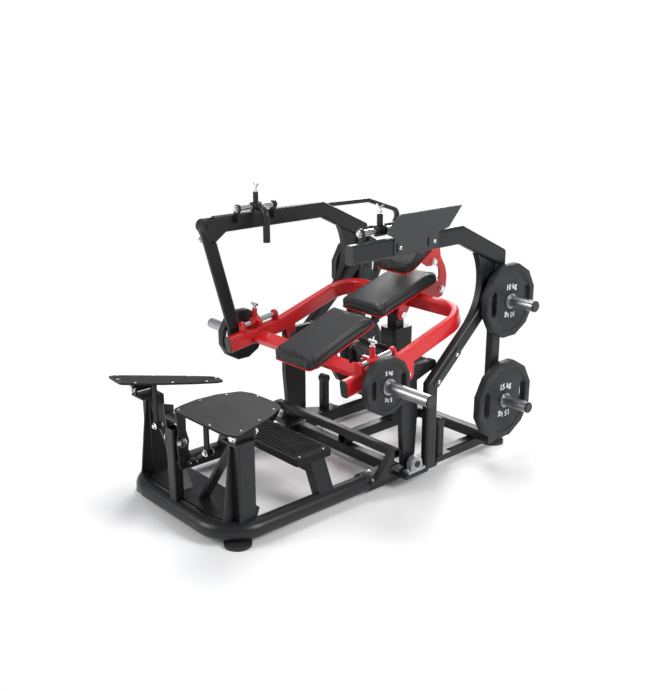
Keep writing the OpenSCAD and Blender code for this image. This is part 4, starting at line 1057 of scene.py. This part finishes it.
class PRESS_OT_belt(bpy.types.Operator):
    """Hang the belt's short strap and its buckle on the right clamp's eye"""
    bl_idname = "press.belt"
    bl_label = "Belt strap"

    def execute(self, context):
        body = "belt_clamp_right"
        across = Y_AXIS
        ring = [Vector((0.336 + 0.012*cos(t), -0.103 + 0.012*sin(t), 0.6154 + 0.004*cos(t)))
                for t in (2*pi*k/24 for k in range(24))]
        piece = new_piece("belt_ring", *tube_mesh(ring, 1.9*MM, 10, True), "bright_pins")
        seat(outward(piece), body)
        up = smooth_path([(0.3265, -0.103, 0.609), (0.3205, -0.103, 0.6115), (0.317, -0.103, 0.620),
                          (0.306, -0.106, 0.640), (0.296, -0.110, 0.656), (0.288, -0.113, 0.667)])
        tail = smooth_path([(0.290, -0.113, 0.6635), (0.281, -0.116, 0.652), (0.277, -0.119, 0.630),
                            (0.279, -0.121, 0.604), (0.284, -0.121, 0.586)])
        strap = joined([ribbon(up, across, 20*MM, 2.2*MM), ribbon(tail, across, 20*MM, 1.8*MM)])
        seat(outward(new_piece("belt_strap", *strap, "webbing")), body)
        middle = Vector((0.291, -0.1115, 0.6640))
        lean = Matrix.Rotation(radians(-52), 3, "Y")
        border = [middle + lean @ Vector((x, y, 0)) for x, y in
                  ((-0.019, -0.014), (0.019, -0.014), (0.022, -0.011), (0.022, 0.011),
                   (0.019, 0.014), (-0.019, 0.014), (-0.022, 0.011), (-0.022, -0.011))]
        bar = [middle + lean @ Vector((0, y, 0.001)) for y in (-0.014, 0.014)]
        plate = [middle + lean @ Vector((x, 0, 0.0035)) for x in (0.004, 0.020)]
        buckle = joined([tube_mesh(border, 3.0*MM, 8, True), tube_mesh(bar, 2.2*MM, 8),
                         ribbon(plate, lean @ across, 25*MM, 2.2*MM)])
        seat(outward(new_piece("belt_buckle", *buckle, "buckle")), body)
        return {"FINISHED"}


# ---------------------------------------------------------------- stage

def soft_light(name, place, target, size, power):
    """A round soft lamp aimed at a point"""
    data = bpy.data.lights.new(name, "AREA")
    data.shape = "DISK"
    data.size = size
    data.energy = power
    lamp = bpy.data.objects.new(name, data)
    lamp.location = place
    lamp.rotation_euler = (Vector(target) - Vector(place)).to_track_quat("-Z", "Y").to_euler()
    bpy.context.scene.collection.objects.link(lamp)


def floor_finish(shade, near, far):
    """Pale floor that keeps the object's shadow, and is seen as plain white beyond far"""
    mat = bpy.data.materials.new("Floor")
    mat.use_nodes = True
    tree = mat.node_tree
    tree.nodes.clear()
    out = tree.nodes.new("ShaderNodeOutputMaterial")
    where = add(tree, "ShaderNodeTexCoord").outputs["Object"]
    reach = add(tree, "ShaderNodeVectorMath", {0: where}, operation="LENGTH").outputs["Value"]
    fade = add(tree, "ShaderNodeMapRange", {"Value": reach, "From Min": near, "From Max": far},
               interpolation_type="SMOOTHSTEP").outputs["Result"]
    path = tree.nodes.new("ShaderNodeLightPath")
    seen = maths(tree, "ADD", path.outputs["Is Camera Ray"], path.outputs["Is Glossy Ray"])
    seen = maths(tree, "ADD", seen, path.outputs["Is Transmission Ray"], True)
    floor = add(tree, "ShaderNodeBsdfDiffuse", {"Color": (*shade, 1)})
    white = add(tree, "ShaderNodeEmission", {"Color": (1, 1, 1, 1), "Strength": 1.0})
    mix = add(tree, "ShaderNodeMixShader", {0: maths(tree, "MULTIPLY", fade, seen),
                                            1: floor.outputs[0], 2: white.outputs[0]})
    tree.links.new(mix.outputs[0], out.inputs["Surface"])
    return mat


class PRESS_OT_stage(bpy.types.Operator):
    """Set the camera, the floor, the soft lights and the white surround"""
    bl_idname = "press.stage"
    bl_label = "Stage"

    def execute(self, context):
        scene = context.scene
        scene.view_settings.view_transform = "Standard"
        lens = bpy.data.cameras.new("Camera")
        lens.lens = 50
        lens.sensor_width = 36
        lens.sensor_fit = "HORIZONTAL"
        camera = bpy.data.objects.new("Camera", lens)
        camera.location = (2.895, -2.576, 1.800)
        camera.rotation_euler = (radians(72.36), 0, radians(48.06))
        scene.collection.objects.link(camera)
        scene.camera = camera
        mesh = bpy.data.meshes.new("Floor")
        half = 40
        mesh.from_pydata([(-half, -half, 0), (half, -half, 0), (half, half, 0), (-half, half, 0)], [],
                         [(0, 1, 2, 3)])
        floor = bpy.data.objects.new("Floor", mesh)
        scene.collection.objects.link(floor)
        mesh.materials.append(floor_finish((0.92, 0.92, 0.92), 0.9, 1.9))
        world = bpy.data.worlds.new("Surround")
        scene.world = world
        world.use_nodes = True
        tree = world.node_tree
        tree.nodes.clear()
        out = tree.nodes.new("ShaderNodeOutputWorld")
        path = tree.nodes.new("ShaderNodeLightPath")
        seen = maths(tree, "MAXIMUM", path.outputs["Is Camera Ray"], path.outputs["Is Transmission Ray"])
        soft = add(tree, "ShaderNodeBackground", {"Color": (0.86, 0.87, 0.90, 1), "Strength": 0.42})
        white = add(tree, "ShaderNodeBackground", {"Color": (1, 1, 1, 1), "Strength": 1.0})
        mix = add(tree, "ShaderNodeMixShader", {0: seen, 1: soft.outputs[0], 2: white.outputs[0]})
        tree.links.new(mix.outputs[0], out.inputs["Surface"])
        middle = (0, 0, 0.6)
        soft_light("Key", (3.6, 0.6, 2.6), middle, 1.6, 118)
        soft_light("Fill", (-1.6, -3.8, 2.2), middle, 2.2, 92)
        soft_light("Top", (-0.6, 0.4, 4.2), middle, 2.0, 62)
        soft_light("Back", (-2.4, 3.0, 2.6), middle, 2.0, 105)
        return {"FINISHED"}


# ---------------------------------------------------------------- panel and registration

class PRESS_PT_panel(bpy.types.Panel):
    """Lists the steps that finish the leg press"""
    bl_idname = "PRESS_PT_panel"
    bl_label = "Leg press"
    bl_space_type = "VIEW_3D"
    bl_region_type = "UI"
    bl_category = "Press"

    def draw(self, context):
        for step in STEPS:
            self.layout.operator(step.bl_idname)
        for group in (context.scene.press_finishes, context.scene.press_sizes):
            for key in group.bl_rna.properties.keys():
                if key not in {"rna_type", "name"}:
                    self.layout.prop(group, key)


STEPS = (PRESS_OT_finishes, PRESS_OT_cushions, PRESS_OT_plates, PRESS_OT_foot_plates,
         PRESS_OT_fasteners, PRESS_OT_belt, PRESS_OT_stage)
CLASSES = (PressFinishes, PressSizes, PRESS_PT_panel) + STEPS


def register():
    for cls in CLASSES:
        bpy.utils.register_class(cls)
    bpy.types.Scene.press_finishes = bpy.props.PointerProperty(type=PressFinishes)
    bpy.types.Scene.press_sizes = bpy.props.PointerProperty(type=PressSizes)


def unregister():
    del bpy.types.Scene.press_sizes
    del bpy.types.Scene.press_finishes
    for cls in reversed(CLASSES):
        bpy.utils.unregister_class(cls)


def main():
    register()
    for step in STEPS:
        area, name = step.bl_idname.split(".")
        getattr(getattr(bpy.ops, area), name)()


if __name__ == "__main__":
    main()
